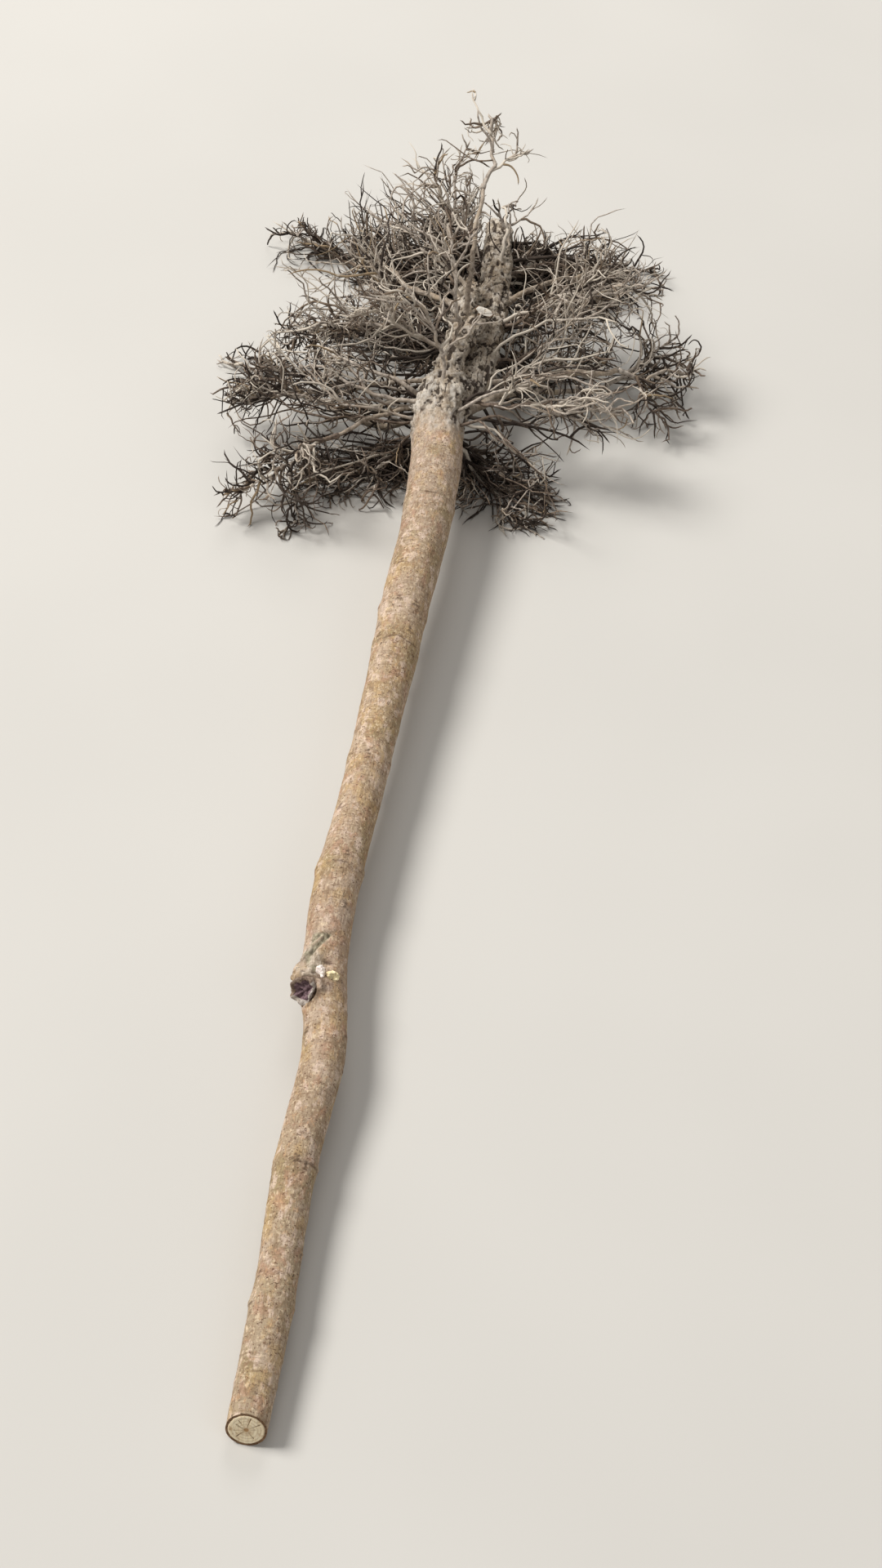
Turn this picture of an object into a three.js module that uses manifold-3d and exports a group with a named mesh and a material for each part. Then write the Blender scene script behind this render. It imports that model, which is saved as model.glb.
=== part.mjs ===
// A young fruit tree lifted with bare roots, its top cut off and no leaves, lying on level ground.
//
// Units are millimetres and +Z is up. The stem lies along Y: its cut top is at the -Y end and its
// roots are at the +Y end. +X is to the right when the roots are seen over the stem from above.
// The ground is at z = 0, and the middle of the tree's outline on it is at x = 0, y = 0.

import * as THREE from 'three';
import { mergeVertices } from 'three/addons/utils/BufferGeometryUtils.js';
import Module from 'manifold-3d';

const wasm = await Module();
wasm.setup();

// Driving dimensions

// The root collar, where the stem ends and the roots begin.
const COLLAR_X = -11;
const COLLAR_Y = 243.5;

// What is seated on something else keeps this gap to it. A root starts this deep under the bark of
// its limb, and one that leaves the limb at a flat angle is reckoned to leave it at this slope.
const SEAT_GAP = 0.3;
const SEAT_DEPTH = 3;
const FLATTEST_START = 0.4;

// Rows: distance from the collar towards the cut top, offset to the right, height, diameter.
const STEM = [
  [-26, 6, 43, 37],
  [-10, 4, 43.5, 39],
  [0, 3, 43.5, 38.5],
  [14, 3, 43, 36],
  [52, 7.2, 41.5, 36.5],
  [121, 7.4, 38.5, 34],
  [187, 3.9, 35.5, 32.4],
  [249, 2.4, 32.5, 29.8],
  [308, 0, 30, 27.4],
  [364, -2.3, 27.5, 26.6],
  [430, -6.2, 25, 27.6],
  [480, -4.6, 23.4, 26.4],
  [524, 2, 21.6, 25.4],
  [552, 4.4, 20.4, 25.2],
  [619, 0, 17, 24],
  [690, 1.2, 13.8, 22.8],
  [771, 0, 11.1, 21.8],
];
const STEM_SIDES = 20;
const STEM_RING_STEP = 13.5;

// The cut at the top faces a little upwards.
const STEM_CUT_SLANT = 18;

// The stem's foot ends in a dome between the roots: shares of its radius, and its depth.
const DOME_SHARES = [0.97, 0.82, 0.5];
const DOME_DEPTH = 0.8;

// Old leaf rings stand out from the stem: distance from the collar, and how far they stand out.
const LEAF_RINGS = [[98, 0.5], [200, 0.8], [233, 0.5], [330, 0.7], [418, 0.9], [620, 0.7], [702, 0.8]];
const LEAF_RING_WIDTH = 6;

// The stem's foot is ribbed where the roots leave it.
const FOOT_RIBS = { count: 5, turn: 24, rise: 1.3, length: 34 };

// The knot is a swelling on the upper left of the stem, with a grown-over fold on its root side.
const KNOT = { at: 500, around: 152, rise: 4.4, length: 16, spread: 40 };
const KNOT_FOLD = { at: 482, around: 112, rise: 1.8, length: 8, spread: 20 };
const KNOT_HOLLOW = { at: 494, around: 98, rise: -2, length: 5, spread: 16 };

// Rows: distance past the collar, offset to the right, height, diameter.
const TAP_ROOT = [
  [4, 10, 39, 24],
  [34, 19, 36.5, 23],
  [84, 26.5, 33, 22.4],
  [158, 27.5, 28, 22],
  [221, 25, 23, 21.4],
  [274, 21.5, 19, 20],
];
const FORK_ROOT = [
  [2, 0, 46, 23],
  [30, 3, 50, 19],
  [75, 7, 52.5, 17.6],
  [118, 8.5, 52, 15.6],
  [142, 8.5, 50.5, 13.4],
  [156, 7, 49, 7.4],
];
const CUT_ROOT = [
  [50, 6, 52, 13.6],
  [80, 14.5, 57, 13],
  [104, 23.5, 61, 12],
];
const ROOT_SIDES = 12;
const ROOT_RING_STEP = 13;
const CUT_ROOT_SIDES = 10;
const CUT_ROOT_FACE = new THREE.Vector3(0.25, 0.3, 0.92).normalize();
const TAP_ROOT_FACE = new THREE.Vector3(0.1, 0.86, 0.5).normalize();

// The dead branch on the knot is a cup, and two broken ends stand beside it. Each stands out from
// the stem's middle, leans towards the cut top by some degrees, and ends at its height. The cup's
// outline runs from its foot over the rim to its floor, in rows of how far in from the radius and how
// far down from the height. The shape of a broken end is in shares of its height and of its radius.
const DEAD_BRANCH = { at: 499, around: 141, towardsTop: 34, height: 23.5, radius: 7.8 };
const CUP_OUTLINE = [[7.8, 23.5], [0.3, 23.5], [0, 2], [0.6, 0], [1.5, 0.4], [2.4, 5], [7.8, 5.6]];
const DEAD_BRANCH_SIDES = 12;
const BROKEN_ENDS = [
  { name: 'broken_end_pale', at: 490, around: 106, towardsTop: 28, height: 20.5, radius: 2.8 },
  { name: 'broken_end_yellow', at: 492, around: 74, towardsTop: 36, height: 21, radius: 3.2 },
];
const BROKEN_END_SHAPE = [[0, 1], [0.5, 1], [0.82, 0.9], [1, 0.5]];
const BROKEN_END_SIDES = 8;

// Side roots: the limb that each grows on, the distance past the collar, the first and last heading
// (degrees to the right of +Y, then upwards), length, first and last diameter.
const SIDE_ROOTS = [
  {
    name: 'side_root_right', on: 'stem', at: -13, length: 140,
    first: [44, 0], last: [66, 2], from: 6.8, to: 4,
  },
  {
    name: 'side_root_left_near', on: 'stem', at: 13, length: 66,
    first: [-118, 4], last: [-138, -14], from: 3.6, to: 2.6,
  },
  {
    name: 'side_root_left_far', on: 'fork_root', at: 32, length: 74,
    first: [-100, -6], last: [-112, -12], from: 3.6, to: 2.6,
  },
  {
    name: 'side_root_low_left', on: 'stem', at: 8, length: 118,
    first: [-62, -42], last: [-84, 0], from: 5.6, to: 3.4,
  },
  {
    name: 'side_root_low_right', on: 'tap_root', at: 66, length: 96,
    first: [72, -34], last: [84, 4], from: 5.4, to: 3.2,
  },
  {
    name: 'side_root_rising', on: 'fork_root', at: 92, length: 104,
    first: [24, 66], last: [6, 10], from: 4.4, to: 2.8,
  },
  {
    name: 'side_root_back_left', on: 'fork_root', at: 112, length: 118,
    first: [-66, 4], last: [-34, -24], from: 4.8, to: 3,
  },
  {
    name: 'side_root_back_right', on: 'tap_root', at: 152, length: 104,
    first: [64, 24], last: [34, -26], from: 4.6, to: 3,
  },
];
const SIDE_ROOT_SIDES = 7;
const SIDE_ROOT_STEP = 11;
const SIDE_ROOT_KINK = 0.2;

// Fine roots: the limb that each bunch grows on, the distance past the collar, the length of its
// main root, and the first and last heading as above. Their nodes' names start with fine_roots_.
const BUNCHES = [
  { name: 'collar_left', on: 'stem', at: 4, length: 104, first: [-96, 22], last: [-70, -18] },
  { name: 'collar_top', on: 'stem', at: 10, length: 82, first: [-30, 74], last: [-44, 16] },
  { name: 'collar_right', on: 'stem', at: 6, length: 96, first: [82, 30], last: [88, -16] },
  { name: 'collar_under', on: 'stem', at: -2, length: 98, first: [-128, -52], last: [-104, 0] },
  { name: 'collar_low_right', on: 'stem', at: -4, length: 98, first: [92, -44], last: [112, 0] },
  { name: 'fork_left', on: 'fork_root', at: 58, length: 108, first: [-70, 14], last: [-84, -14] },
  { name: 'fork_top', on: 'fork_root', at: 66, length: 92, first: [-22, 72], last: [-20, 14] },
  { name: 'fork_back', on: 'fork_root', at: 134, length: 92, first: [-24, 40], last: [-12, 6] },
  { name: 'tap_right', on: 'tap_root', at: 52, length: 104, first: [84, 12], last: [62, -12] },
  { name: 'tap_under', on: 'tap_root', at: 96, length: 104, first: [-52, -48], last: [-74, 0] },
  { name: 'tap_middle_right', on: 'tap_root', at: 122, length: 98, first: [74, 36], last: [64, -14] },
  { name: 'tap_left', on: 'tap_root', at: 166, length: 98, first: [-66, 24], last: [-52, -14] },
  { name: 'tap_top', on: 'tap_root', at: 200, length: 68, first: [24, 60], last: [14, -12] },
  { name: 'tap_low_right', on: 'tap_root', at: 206, length: 82, first: [58, -22], last: [64, 0] },
];
const TIP_BUNCH_LENGTH = 72;
const BUNCH_MAIN = { segments: 6, from: 1.6, to: 0.9, kink: 0.34 };

// Each level of fine roots grows on the one before it: how many on each, how many segments, the
// shortest and longest share of the parent's length, how far it leans out from its parent (0 is
// straight on), and its first and last radius.
const LEVELS = [
  { count: 6, segments: 4, shares: [0.4, 0.8], lean: [0.55, 1.25], from: 1.1, to: 0.65, kink: 0.42 },
  { count: 1, segments: 3, shares: [0.45, 0.8], lean: [0.6, 1.2], from: 0.8, to: 0.55, kink: 0.42 },
];
// Twigs start between these shares of their parent's length, those near its base are the longest,
// and each turns part of the way back to its parent's direction and droops a little.
const FIRST_SPROUT = 0.12;
const LAST_SPROUT = 0.94;
const LENGTH_AT_BASE = 1.1;
const LENGTH_LOST_BY_TIP = 0.45;
const TURN_BACK = 0.4;
const DROOP = 0.05;

// How much of one kink a root carries into the next.
const KINK_KEPT = 0.6;

// Twigs stay this clear of other wood and of the ground, and a shorter one than this is left out.
const TWIG_CLEARANCE = 0.9;
const GROUND_CLEARANCE = 0.1;
const SHORTEST_KEPT = 12;

const SIDE_ROOT_SEED = 11;
const TIP_BUNCH_SEED = 501;
const BUNCH_SEED = 901;

// Colours

const BARK = new THREE.MeshStandardMaterial({ color: 0xa08a70, roughness: 0.86, metalness: 0 });
const ROOT_BARK = new THREE.MeshStandardMaterial({ color: 0x8f8270, roughness: 0.93, metalness: 0 });
const SIDE_ROOT_BARK = new THREE.MeshStandardMaterial({ color: 0x82766a, roughness: 0.92, metalness: 0 });
const FINE_ROOT_BARK = new THREE.MeshStandardMaterial({ color: 0x5e534a, roughness: 0.94, metalness: 0 });
const DEAD_BARK = new THREE.MeshStandardMaterial({ color: 0x6c5a52, roughness: 0.95, metalness: 0 });
const PALE_WOOD = new THREE.MeshStandardMaterial({ color: 0xe6d9c2, roughness: 0.8, metalness: 0 });
const YELLOW_WOOD = new THREE.MeshStandardMaterial({ color: 0xd8ba6c, roughness: 0.8, metalness: 0 });

// Random numbers

// The same row of numbers from 0 to 1 for the same seed.
function seeded(seed) {
  let state = seed >>> 0;
  return () => {
    state = (state + 0x6d2b79f5) >>> 0;
    let mixed = Math.imul(state ^ (state >>> 15), state | 1);
    mixed ^= mixed + Math.imul(mixed ^ (mixed >>> 7), mixed | 61);
    return ((mixed ^ (mixed >>> 14)) >>> 0) / 4294967296;
  };
}

function childSeed(seed, index) {
  return (Math.imul(seed, 1664525) + Math.imul(index + 1, 40503) + 1013904223) >>> 0;
}

// Lines and frames

// Smooth curves through the rows of a table whose first column is the distance.
function valuesAt(rows, distance) {
  const last = rows.length - 1;
  let i = 0;
  while (i < last - 1 && distance > rows[i + 1][0]) {
    i += 1;
  }
  const span = rows[i + 1][0] - rows[i][0];
  const t = (distance - rows[i][0]) / span;
  const slope = (row, column) => {
    const before = rows[Math.max(row - 1, 0)];
    const after = rows[Math.min(row + 1, last)];
    return (after[column] - before[column]) / (after[0] - before[0]);
  };
  return [1, 2, 3].map((column) => {
    const a = rows[i][column];
    const b = rows[i + 1][column];
    const rise = slope(i, column) * span;
    const fall = slope(i + 1, column) * span;
    const bend = t * t * (3 - 2 * t);
    return a + (b - a) * bend + rise * t * (1 - t) * (1 - t) - fall * t * t * (1 - t);
  });
}

// The rings of a limb, from its table: centres and radii, with sign -1 where the table's distances
// run from the collar towards the cut top.
function ringsOf(rows, step, sign) {
  const start = rows[0][0];
  const end = rows[rows.length - 1][0];
  const count = Math.ceil((end - start) / step);
  const rings = [];
  for (let i = 0; i <= count; i += 1) {
    const distance = start + (end - start) * i / count;
    const [side, height, diameter] = valuesAt(rows, distance);
    const centre = new THREE.Vector3(COLLAR_X + side, COLLAR_Y + sign * distance, height);
    rings.push({ distance, centre, radius: diameter / 2 });
  }
  return rings;
}

// The direction of a line of points at each of them.
function tangents(points) {
  return points.map((point, i) => {
    const before = points[Math.max(i - 1, 0)];
    const after = points[Math.min(i + 1, points.length - 1)];
    return after.clone().sub(before).normalize();
  });
}

// Two directions across a limb that lies along Y: its right and its top.
function acrossLimb(tangent) {
  const along = tangent.y < 0 ? tangent.clone().negate() : tangent.clone();
  const right = along.clone().cross(new THREE.Vector3(0, 0, 1)).normalize();
  const top = right.clone().cross(along).normalize();
  return [right, top];
}

// Directions across a root that may turn any way: the first pair is carried along the line.
function acrossLine(directions) {
  const first = directions[0];
  const helper = Math.abs(first.z) < 0.8 ? new THREE.Vector3(0, 0, 1) : new THREE.Vector3(1, 0, 0);
  let right = first.clone().cross(helper).normalize();
  return directions.map((direction) => {
    right = right.clone().addScaledVector(direction, -right.dot(direction)).normalize();
    return [right, right.clone().cross(direction).normalize()];
  });
}

function headingOf([turn, rise]) {
  const t = THREE.MathUtils.degToRad(turn);
  const r = THREE.MathUtils.degToRad(rise);
  return new THREE.Vector3(Math.sin(t) * Math.cos(r), Math.cos(t) * Math.cos(r), Math.sin(r));
}

// Solids

// A closed skin over rings of points, with a fan of triangles from a point over each end. With no
// point at the start, the first ring is a triangle and is closed as it is.
function skin(rings, startPoint, endPoint) {
  const sides = rings[0].length;
  const positions = [];
  for (const ring of rings) {
    for (const point of ring) {
      positions.push(point.x, point.y, point.z);
    }
  }
  const faces = [];
  for (let i = 0; i + 1 < rings.length; i += 1) {
    for (let k = 0; k < sides; k += 1) {
      const a = i * sides + k;
      const b = i * sides + (k + 1) % sides;
      faces.push(a, b, b + sides, a, b + sides, a + sides);
    }
  }
  const addEnd = (offset, point, flip) => {
    const middle = positions.length / 3;
    positions.push(point.x, point.y, point.z);
    for (let k = 0; k < sides; k += 1) {
      const a = offset + k;
      const b = offset + (k + 1) % sides;
      faces.push(...(flip ? [middle, a, b] : [middle, b, a]));
    }
  };
  if (startPoint) {
    addEnd(0, startPoint, false);
  } else {
    faces.push(2, 1, 0);
  }
  addEnd((rings.length - 1) * sides, endPoint, true);
  const geometry = new THREE.BufferGeometry();
  geometry.setAttribute('position', new THREE.BufferAttribute(new Float32Array(positions), 3));
  geometry.setIndex(faces);
  return geometry;
}

function volumeOf(geometry) {
  const position = geometry.getAttribute('position');
  const index = geometry.getIndex();
  const a = new THREE.Vector3();
  const b = new THREE.Vector3();
  const c = new THREE.Vector3();
  let sum = 0;
  for (let i = 0; i < index.count; i += 3) {
    a.fromBufferAttribute(position, index.getX(i));
    b.fromBufferAttribute(position, index.getX(i + 1));
    c.fromBufferAttribute(position, index.getX(i + 2));
    sum += a.dot(b.cross(c)) / 6;
  }
  return sum;
}

// A solid for cutting and joining, with its faces pointing out.
function solidOf(geometry) {
  geometry.deleteAttribute('normal');
  geometry.deleteAttribute('uv');
  const merged = mergeVertices(geometry, 1e-4);
  const faces = Uint32Array.from(merged.getIndex().array);
  if (volumeOf(merged) < 0) {
    for (let i = 0; i < faces.length; i += 3) {
      [faces[i + 1], faces[i + 2]] = [faces[i + 2], faces[i + 1]];
    }
  }
  const vertProperties = new Float32Array(merged.getAttribute('position').array);
  return new wasm.Manifold(new wasm.Mesh({ numProp: 3, vertProperties, triVerts: faces }));
}

function meshOf(name, solid, material) {
  const pieces = solid.decompose();
  const largest = pieces.reduce((best, piece) => (piece.volume() > best.volume() ? piece : best));
  const { vertProperties, triVerts } = largest.getMesh();
  const geometry = new THREE.BufferGeometry();
  geometry.setAttribute('position', new THREE.BufferAttribute(vertProperties, 3));
  geometry.setIndex(new THREE.BufferAttribute(triVerts, 1));
  geometry.computeVertexNormals();
  const mesh = new THREE.Mesh(geometry, material);
  mesh.name = name;
  return mesh;
}

// The rise of a swelling at a place on the stem, highest at its middle.
function swelling(bump, distance, around) {
  const away = (distance - bump.at) / bump.length;
  const turn = ((around - bump.around + 540) % 360 - 180) / bump.spread;
  return bump.rise * Math.exp(-away * away - turn * turn);
}

function stemRadius(ring, around) {
  const { count, turn, rise, length } = FOOT_RIBS;
  const fade = Math.exp(-((ring.distance / length) ** 2));
  let radius = ring.radius + rise * fade * Math.cos(THREE.MathUtils.degToRad(count * around + turn));
  for (const [at, rise] of LEAF_RINGS) {
    const away = (ring.distance - at) / LEAF_RING_WIDTH;
    radius += rise * Math.exp(-away * away);
  }
  for (const bump of [KNOT, KNOT_FOLD, KNOT_HOLLOW]) {
    radius += swelling(bump, ring.distance, around);
  }
  return radius;
}

// The stem, from a round end between the roots to the slanted cut; extra makes it thicker all over.
function stemSolid(extra) {
  const rings = ringsOf(STEM, STEM_RING_STEP, -1);
  const directions = tangents(rings.map((ring) => ring.centre));
  const outline = (ring, direction, share) => {
    const [right, top] = acrossLimb(direction);
    const points = [];
    for (let k = 0; k < STEM_SIDES; k += 1) {
      const around = 360 * k / STEM_SIDES;
      const angle = THREE.MathUtils.degToRad(around);
      const radius = stemRadius(ring, around) * share + extra;
      points.push(ring.centre.clone()
        .addScaledVector(right, Math.cos(angle) * radius)
        .addScaledVector(top, Math.sin(angle) * radius));
    }
    return points;
  };
  const outlines = rings.map((ring, i) => outline(ring, directions[i], 1));
  const first = rings[0];
  const dome = DOME_SHARES.map((share, i) => {
    const depth = first.radius * DOME_DEPTH * Math.sqrt(1 - share * share);
    const out = depth + extra * (i + 1) / DOME_SHARES.length;
    const ring = outline(first, directions[0], share);
    return ring.map((point) => point.addScaledVector(directions[0], -out));
  });
  const last = rings[rings.length - 1];
  const away = directions[directions.length - 1];
  const slope = Math.tan(THREE.MathUtils.degToRad(STEM_CUT_SLANT));
  for (const point of outlines[outlines.length - 1]) {
    const height = point.clone().sub(last.centre).z;
    point.addScaledVector(away, extra - height * slope);
  }
  const tipPoint = last.centre.clone().addScaledVector(away, extra);
  const domeEnd = first.radius * DOME_DEPTH + extra;
  const domePoint = first.centre.clone().addScaledVector(directions[0], -domeEnd);
  return solidOf(skin([...dome.reverse(), ...outlines], domePoint, tipPoint));
}

// Round outlines across a line of points.
function outlinesAlong(points, directions, radii, sides) {
  const frames = acrossLine(directions);
  return points.map((centre, i) => {
    const [right, top] = frames[i];
    const ring = [];
    for (let k = 0; k < sides; k += 1) {
      const angle = 2 * Math.PI * k / sides;
      ring.push(centre.clone()
        .addScaledVector(right, Math.cos(angle) * radii[i])
        .addScaledVector(top, Math.sin(angle) * radii[i]));
    }
    return ring;
  });
}

// A round limb along a line of points; a face direction cuts its end on a slant through its middle.
function limbSolid(points, radii, sides, extra, face) {
  const directions = tangents(points);
  const outlines = outlinesAlong(points, directions, radii.map((radius) => radius + extra), sides);
  const last = points.length - 1;
  const end = points[last].clone().addScaledVector(directions[last], extra);
  const normal = face ?? directions[last];
  for (const point of outlines[last]) {
    const short = normal.dot(end.clone().sub(point)) / normal.dot(directions[last]);
    point.addScaledVector(directions[last], short);
  }
  return solidOf(skin(outlines, points[0], end));
}

// A three-sided twig that ends in a point.
function twigSolid({ points, radii }) {
  const outlines = outlinesAlong(points, tangents(points), radii, 3);
  return solidOf(skin(outlines.slice(0, -1), null, points[points.length - 1]));
}

// The limbs that other roots grow on: a line of points, radii, and distances past the collar.
function limbFrom(name, rows, step, sign) {
  const rings = ringsOf(rows, step, sign);
  return {
    name,
    points: rings.map((ring) => ring.centre),
    radii: rings.map((ring) => ring.radius),
    past: rings.map((ring) => sign * ring.distance),
  };
}

// The middle of a limb at a distance past the collar, and its radius there.
function placeOn(limb, past) {
  const order = limb.past[0] < limb.past[limb.past.length - 1] ? 1 : -1;
  let i = 0;
  while (i < limb.past.length - 2 && order * (past - limb.past[i + 1]) > 0) {
    i += 1;
  }
  const share = (past - limb.past[i]) / (limb.past[i + 1] - limb.past[i]);
  const centre = limb.points[i].clone().lerp(limb.points[i + 1], share);
  return { centre, radius: limb.radii[i] + (limb.radii[i + 1] - limb.radii[i]) * share };
}

// Where a root that leaves a limb in this direction starts, sunk a little under the bark.
function seatOn(limb, past, way) {
  const { centre, radius } = placeOn(limb, past);
  const [right, top] = acrossLimb(placeOn(limb, past + 1).centre.sub(centre).normalize());
  const out = Math.max(Math.hypot(way.dot(right), way.dot(top)), FLATTEST_START);
  return centre.addScaledVector(way, (radius - SEAT_DEPTH) / out);
}

// How roots grow

// A root's line turns evenly from one heading to the other with a kink at each step, and lies
// along the ground where it comes down to it.
function walk(start, first, last, length, segments, kink, lowest, random) {
  const points = [start.clone()];
  const stray = new THREE.Vector3();
  for (let i = 0; i < segments; i += 1) {
    const way = first.clone().lerp(last, (i + 0.5) / segments).normalize();
    stray.x = KINK_KEPT * stray.x + kink * (2 * random() - 1);
    stray.y = KINK_KEPT * stray.y + kink * (2 * random() - 1);
    stray.z = KINK_KEPT * stray.z + kink * (2 * random() - 1);
    way.add(stray).normalize();
    const next = points[i].clone().addScaledVector(way, length / segments);
    next.z = Math.max(next.z, lowest);
    points.push(next);
  }
  return points;
}

function taper(count, from, to) {
  return Array.from({ length: count }, (_, i) => from + (to - from) * i / (count - 1));
}

// The shortest distance between two straight pieces.
function gapBetween(a0, a1, b0, b1) {
  const u = a1.clone().sub(a0);
  const v = b1.clone().sub(b0);
  const w = a0.clone().sub(b0);
  const uu = u.dot(u);
  const uv = u.dot(v);
  const vv = v.dot(v);
  const uw = u.dot(w);
  const vw = v.dot(w);
  const cross = uu * vv - uv * uv;
  let s = cross > 1e-9 ? (uv * vw - vv * uw) / cross : 0;
  s = Math.min(Math.max(s, 0), 1);
  let t = (uv * s + vw) / vv;
  t = Math.min(Math.max(t, 0), 1);
  s = Math.min(Math.max((uv * t - uw) / uu, 0), 1);
  return w.addScaledVector(u, s).addScaledVector(v, -t).length();
}

// Every straight piece of wood placed so far, with its owner and its radius.
const taken = [];

function take(owner, points, radii) {
  for (let i = 0; i + 1 < points.length; i += 1) {
    taken.push({ owner, start: points[i], end: points[i + 1], radius: Math.max(radii[i], radii[i + 1]) });
  }
}

// How many segments of a new root are free, counted from its start; near its start it may touch
// the owners it grows on.
function freeSegments(points, radii, parents) {
  for (let i = 0; i + 1 < points.length; i += 1) {
    const radius = Math.max(radii[i], radii[i + 1]);
    for (const piece of taken) {
      if (i < 1 && parents.includes(piece.owner)) {
        continue;
      }
      const room = radius + piece.radius + TWIG_CLEARANCE;
      if (gapBetween(points[i], points[i + 1], piece.start, piece.end) < room) {
        return i;
      }
    }
  }
  return points.length - 1;
}

// A twig is kept as far as it is free, and is skipped where too little of it is left.
function keepTwig(owner, points, radii, parents, length) {
  const free = freeSegments(points, radii, parents);
  const kept = length * free / (points.length - 1);
  if (free < 2 || kept < SHORTEST_KEPT) {
    return null;
  }
  const count = free + 1;
  const twig = { owner, points: points.slice(0, count), radii: radii.slice(0, count), length: kept };
  take(owner, twig.points, twig.radii);
  return twig;
}

// The side twigs of a twig, level after level.
function sprout(parent, level, seed, twigs) {
  if (level >= LEVELS.length) {
    return;
  }
  const rule = LEVELS[level];
  const directions = tangents(parent.points);
  for (let k = 0; k < rule.count; k += 1) {
    const ownSeed = childSeed(seed, k);
    const random = seeded(ownSeed);
    const share = FIRST_SPROUT + (LAST_SPROUT - FIRST_SPROUT) * (k + random()) / rule.count;
    const place = share * (parent.points.length - 1);
    const i = Math.min(Math.floor(place), parent.points.length - 2);
    const start = parent.points[i].clone().lerp(parent.points[i + 1], place - i);
    const out = new THREE.Vector3(random() - 0.5, random() - 0.5, random() - 0.5).normalize();
    const along = directions[i];
    out.addScaledVector(along, -out.dot(along)).normalize();
    const lean = rule.lean[0] + (rule.lean[1] - rule.lean[0]) * random();
    const first = along.clone().addScaledVector(out, lean).normalize();
    const last = first.clone().lerp(along, TURN_BACK);
    last.z -= DROOP;
    const [least, most] = rule.shares;
    const grown = LENGTH_AT_BASE - LENGTH_LOST_BY_TIP * share;
    const length = parent.length * (least + (most - least) * random()) * grown;
    const lowest = rule.from + GROUND_CLEARANCE;
    const points = walk(start, first, last, length, rule.segments, rule.kink, lowest, random);
    const radii = taper(points.length, rule.from, rule.to);
    const owner = `${parent.owner}/${k}`;
    const twig = keepTwig(owner, points, radii, [parent.owner], length);
    if (twig) {
      twigs.push(twig);
      sprout(twig, level + 1, ownSeed, twigs);
    }
  }
}

// A bunch of fine roots: one main root and the twigs that branch from it.
function growBunch(name, start, first, last, length, seed, parents) {
  const random = seeded(seed);
  const { segments, from, to, kink } = BUNCH_MAIN;
  const points = walk(start, first, last, length, segments, kink, from + GROUND_CLEARANCE, random);
  const main = keepTwig(name, points, taper(points.length, from, to), parents, length);
  const twigs = main ? [main] : [];
  if (main) {
    sprout(main, 0, seed, twigs);
  }
  return twigs;
}

function fuse(twigs) {
  return twigs.map(twigSolid).reduce((whole, twig) => whole.add(twig));
}

// The tree

const tree = new THREE.Group();
tree.name = 'bare_rooted_sapling';

const stem = limbFrom('stem', STEM, STEM_RING_STEP, -1);
const tapRoot = limbFrom('tap_root', TAP_ROOT, ROOT_RING_STEP, 1);
const forkRoot = limbFrom('fork_root', FORK_ROOT, ROOT_RING_STEP, 1);
const cutRoot = limbFrom('cut_root', CUT_ROOT, ROOT_RING_STEP, 1);
const limbs = { stem, tap_root: tapRoot, fork_root: forkRoot, cut_root: cutRoot };
for (const limb of Object.values(limbs)) {
  take(limb.name, limb.points, limb.radii);
}

const stemRoom = stemSolid(SEAT_GAP);
const forkRoom = limbSolid(forkRoot.points, forkRoot.radii, ROOT_SIDES, SEAT_GAP);
const tapRoom = limbSolid(tapRoot.points, tapRoot.radii, ROOT_SIDES, SEAT_GAP, TAP_ROOT_FACE);
const woodRooms = [stemRoom, forkRoom, tapRoom];

// What is left of a solid outside the rooms of what it grows on.
function clearOf(solid, rooms) {
  return rooms.reduce((left, room) => left.subtract(room), solid);
}

tree.add(meshOf('stem', stemSolid(0), BARK));

const forkSolid = limbSolid(forkRoot.points, forkRoot.radii, ROOT_SIDES, 0).subtract(stemRoom);
tree.add(meshOf('fork_root', forkSolid, ROOT_BARK));

const tapSolid = limbSolid(tapRoot.points, tapRoot.radii, ROOT_SIDES, 0, TAP_ROOT_FACE)
  .subtract(stemRoom)
  .subtract(forkRoom);
tree.add(meshOf('tap_root', tapSolid, ROOT_BARK));

const cutSolid = limbSolid(cutRoot.points, cutRoot.radii, CUT_ROOT_SIDES, 0, CUT_ROOT_FACE)
  .subtract(forkRoom);
tree.add(meshOf('cut_root', cutSolid, ROOT_BARK));

// The knot's pieces stand on the stem.
function standOnStem({ at, around, towardsTop }) {
  const { centre } = placeOn(stem, -at);
  const along = placeOn(stem, -at - 1).centre.sub(centre).normalize();
  const [right, top] = acrossLimb(along);
  const angle = THREE.MathUtils.degToRad(around);
  const lean = THREE.MathUtils.degToRad(towardsTop);
  const out = right.multiplyScalar(Math.cos(angle)).addScaledVector(top, Math.sin(angle));
  const way = out.multiplyScalar(Math.cos(lean)).addScaledVector(along, Math.sin(lean)).normalize();
  return { centre, way };
}

function deadBranch() {
  const { height, radius } = DEAD_BRANCH;
  const profile = CUP_OUTLINE.map(([inside, down]) => new THREE.Vector2(radius - inside, height - down));
  const geometry = new THREE.LatheGeometry(profile, DEAD_BRANCH_SIDES);
  const { centre, way } = standOnStem(DEAD_BRANCH);
  geometry.applyQuaternion(new THREE.Quaternion().setFromUnitVectors(new THREE.Vector3(0, 1, 0), way));
  geometry.translate(centre.x, centre.y, centre.z);
  return solidOf(geometry).subtract(stemRoom);
}
tree.add(meshOf('dead_branch', deadBranch(), DEAD_BARK));

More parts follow.
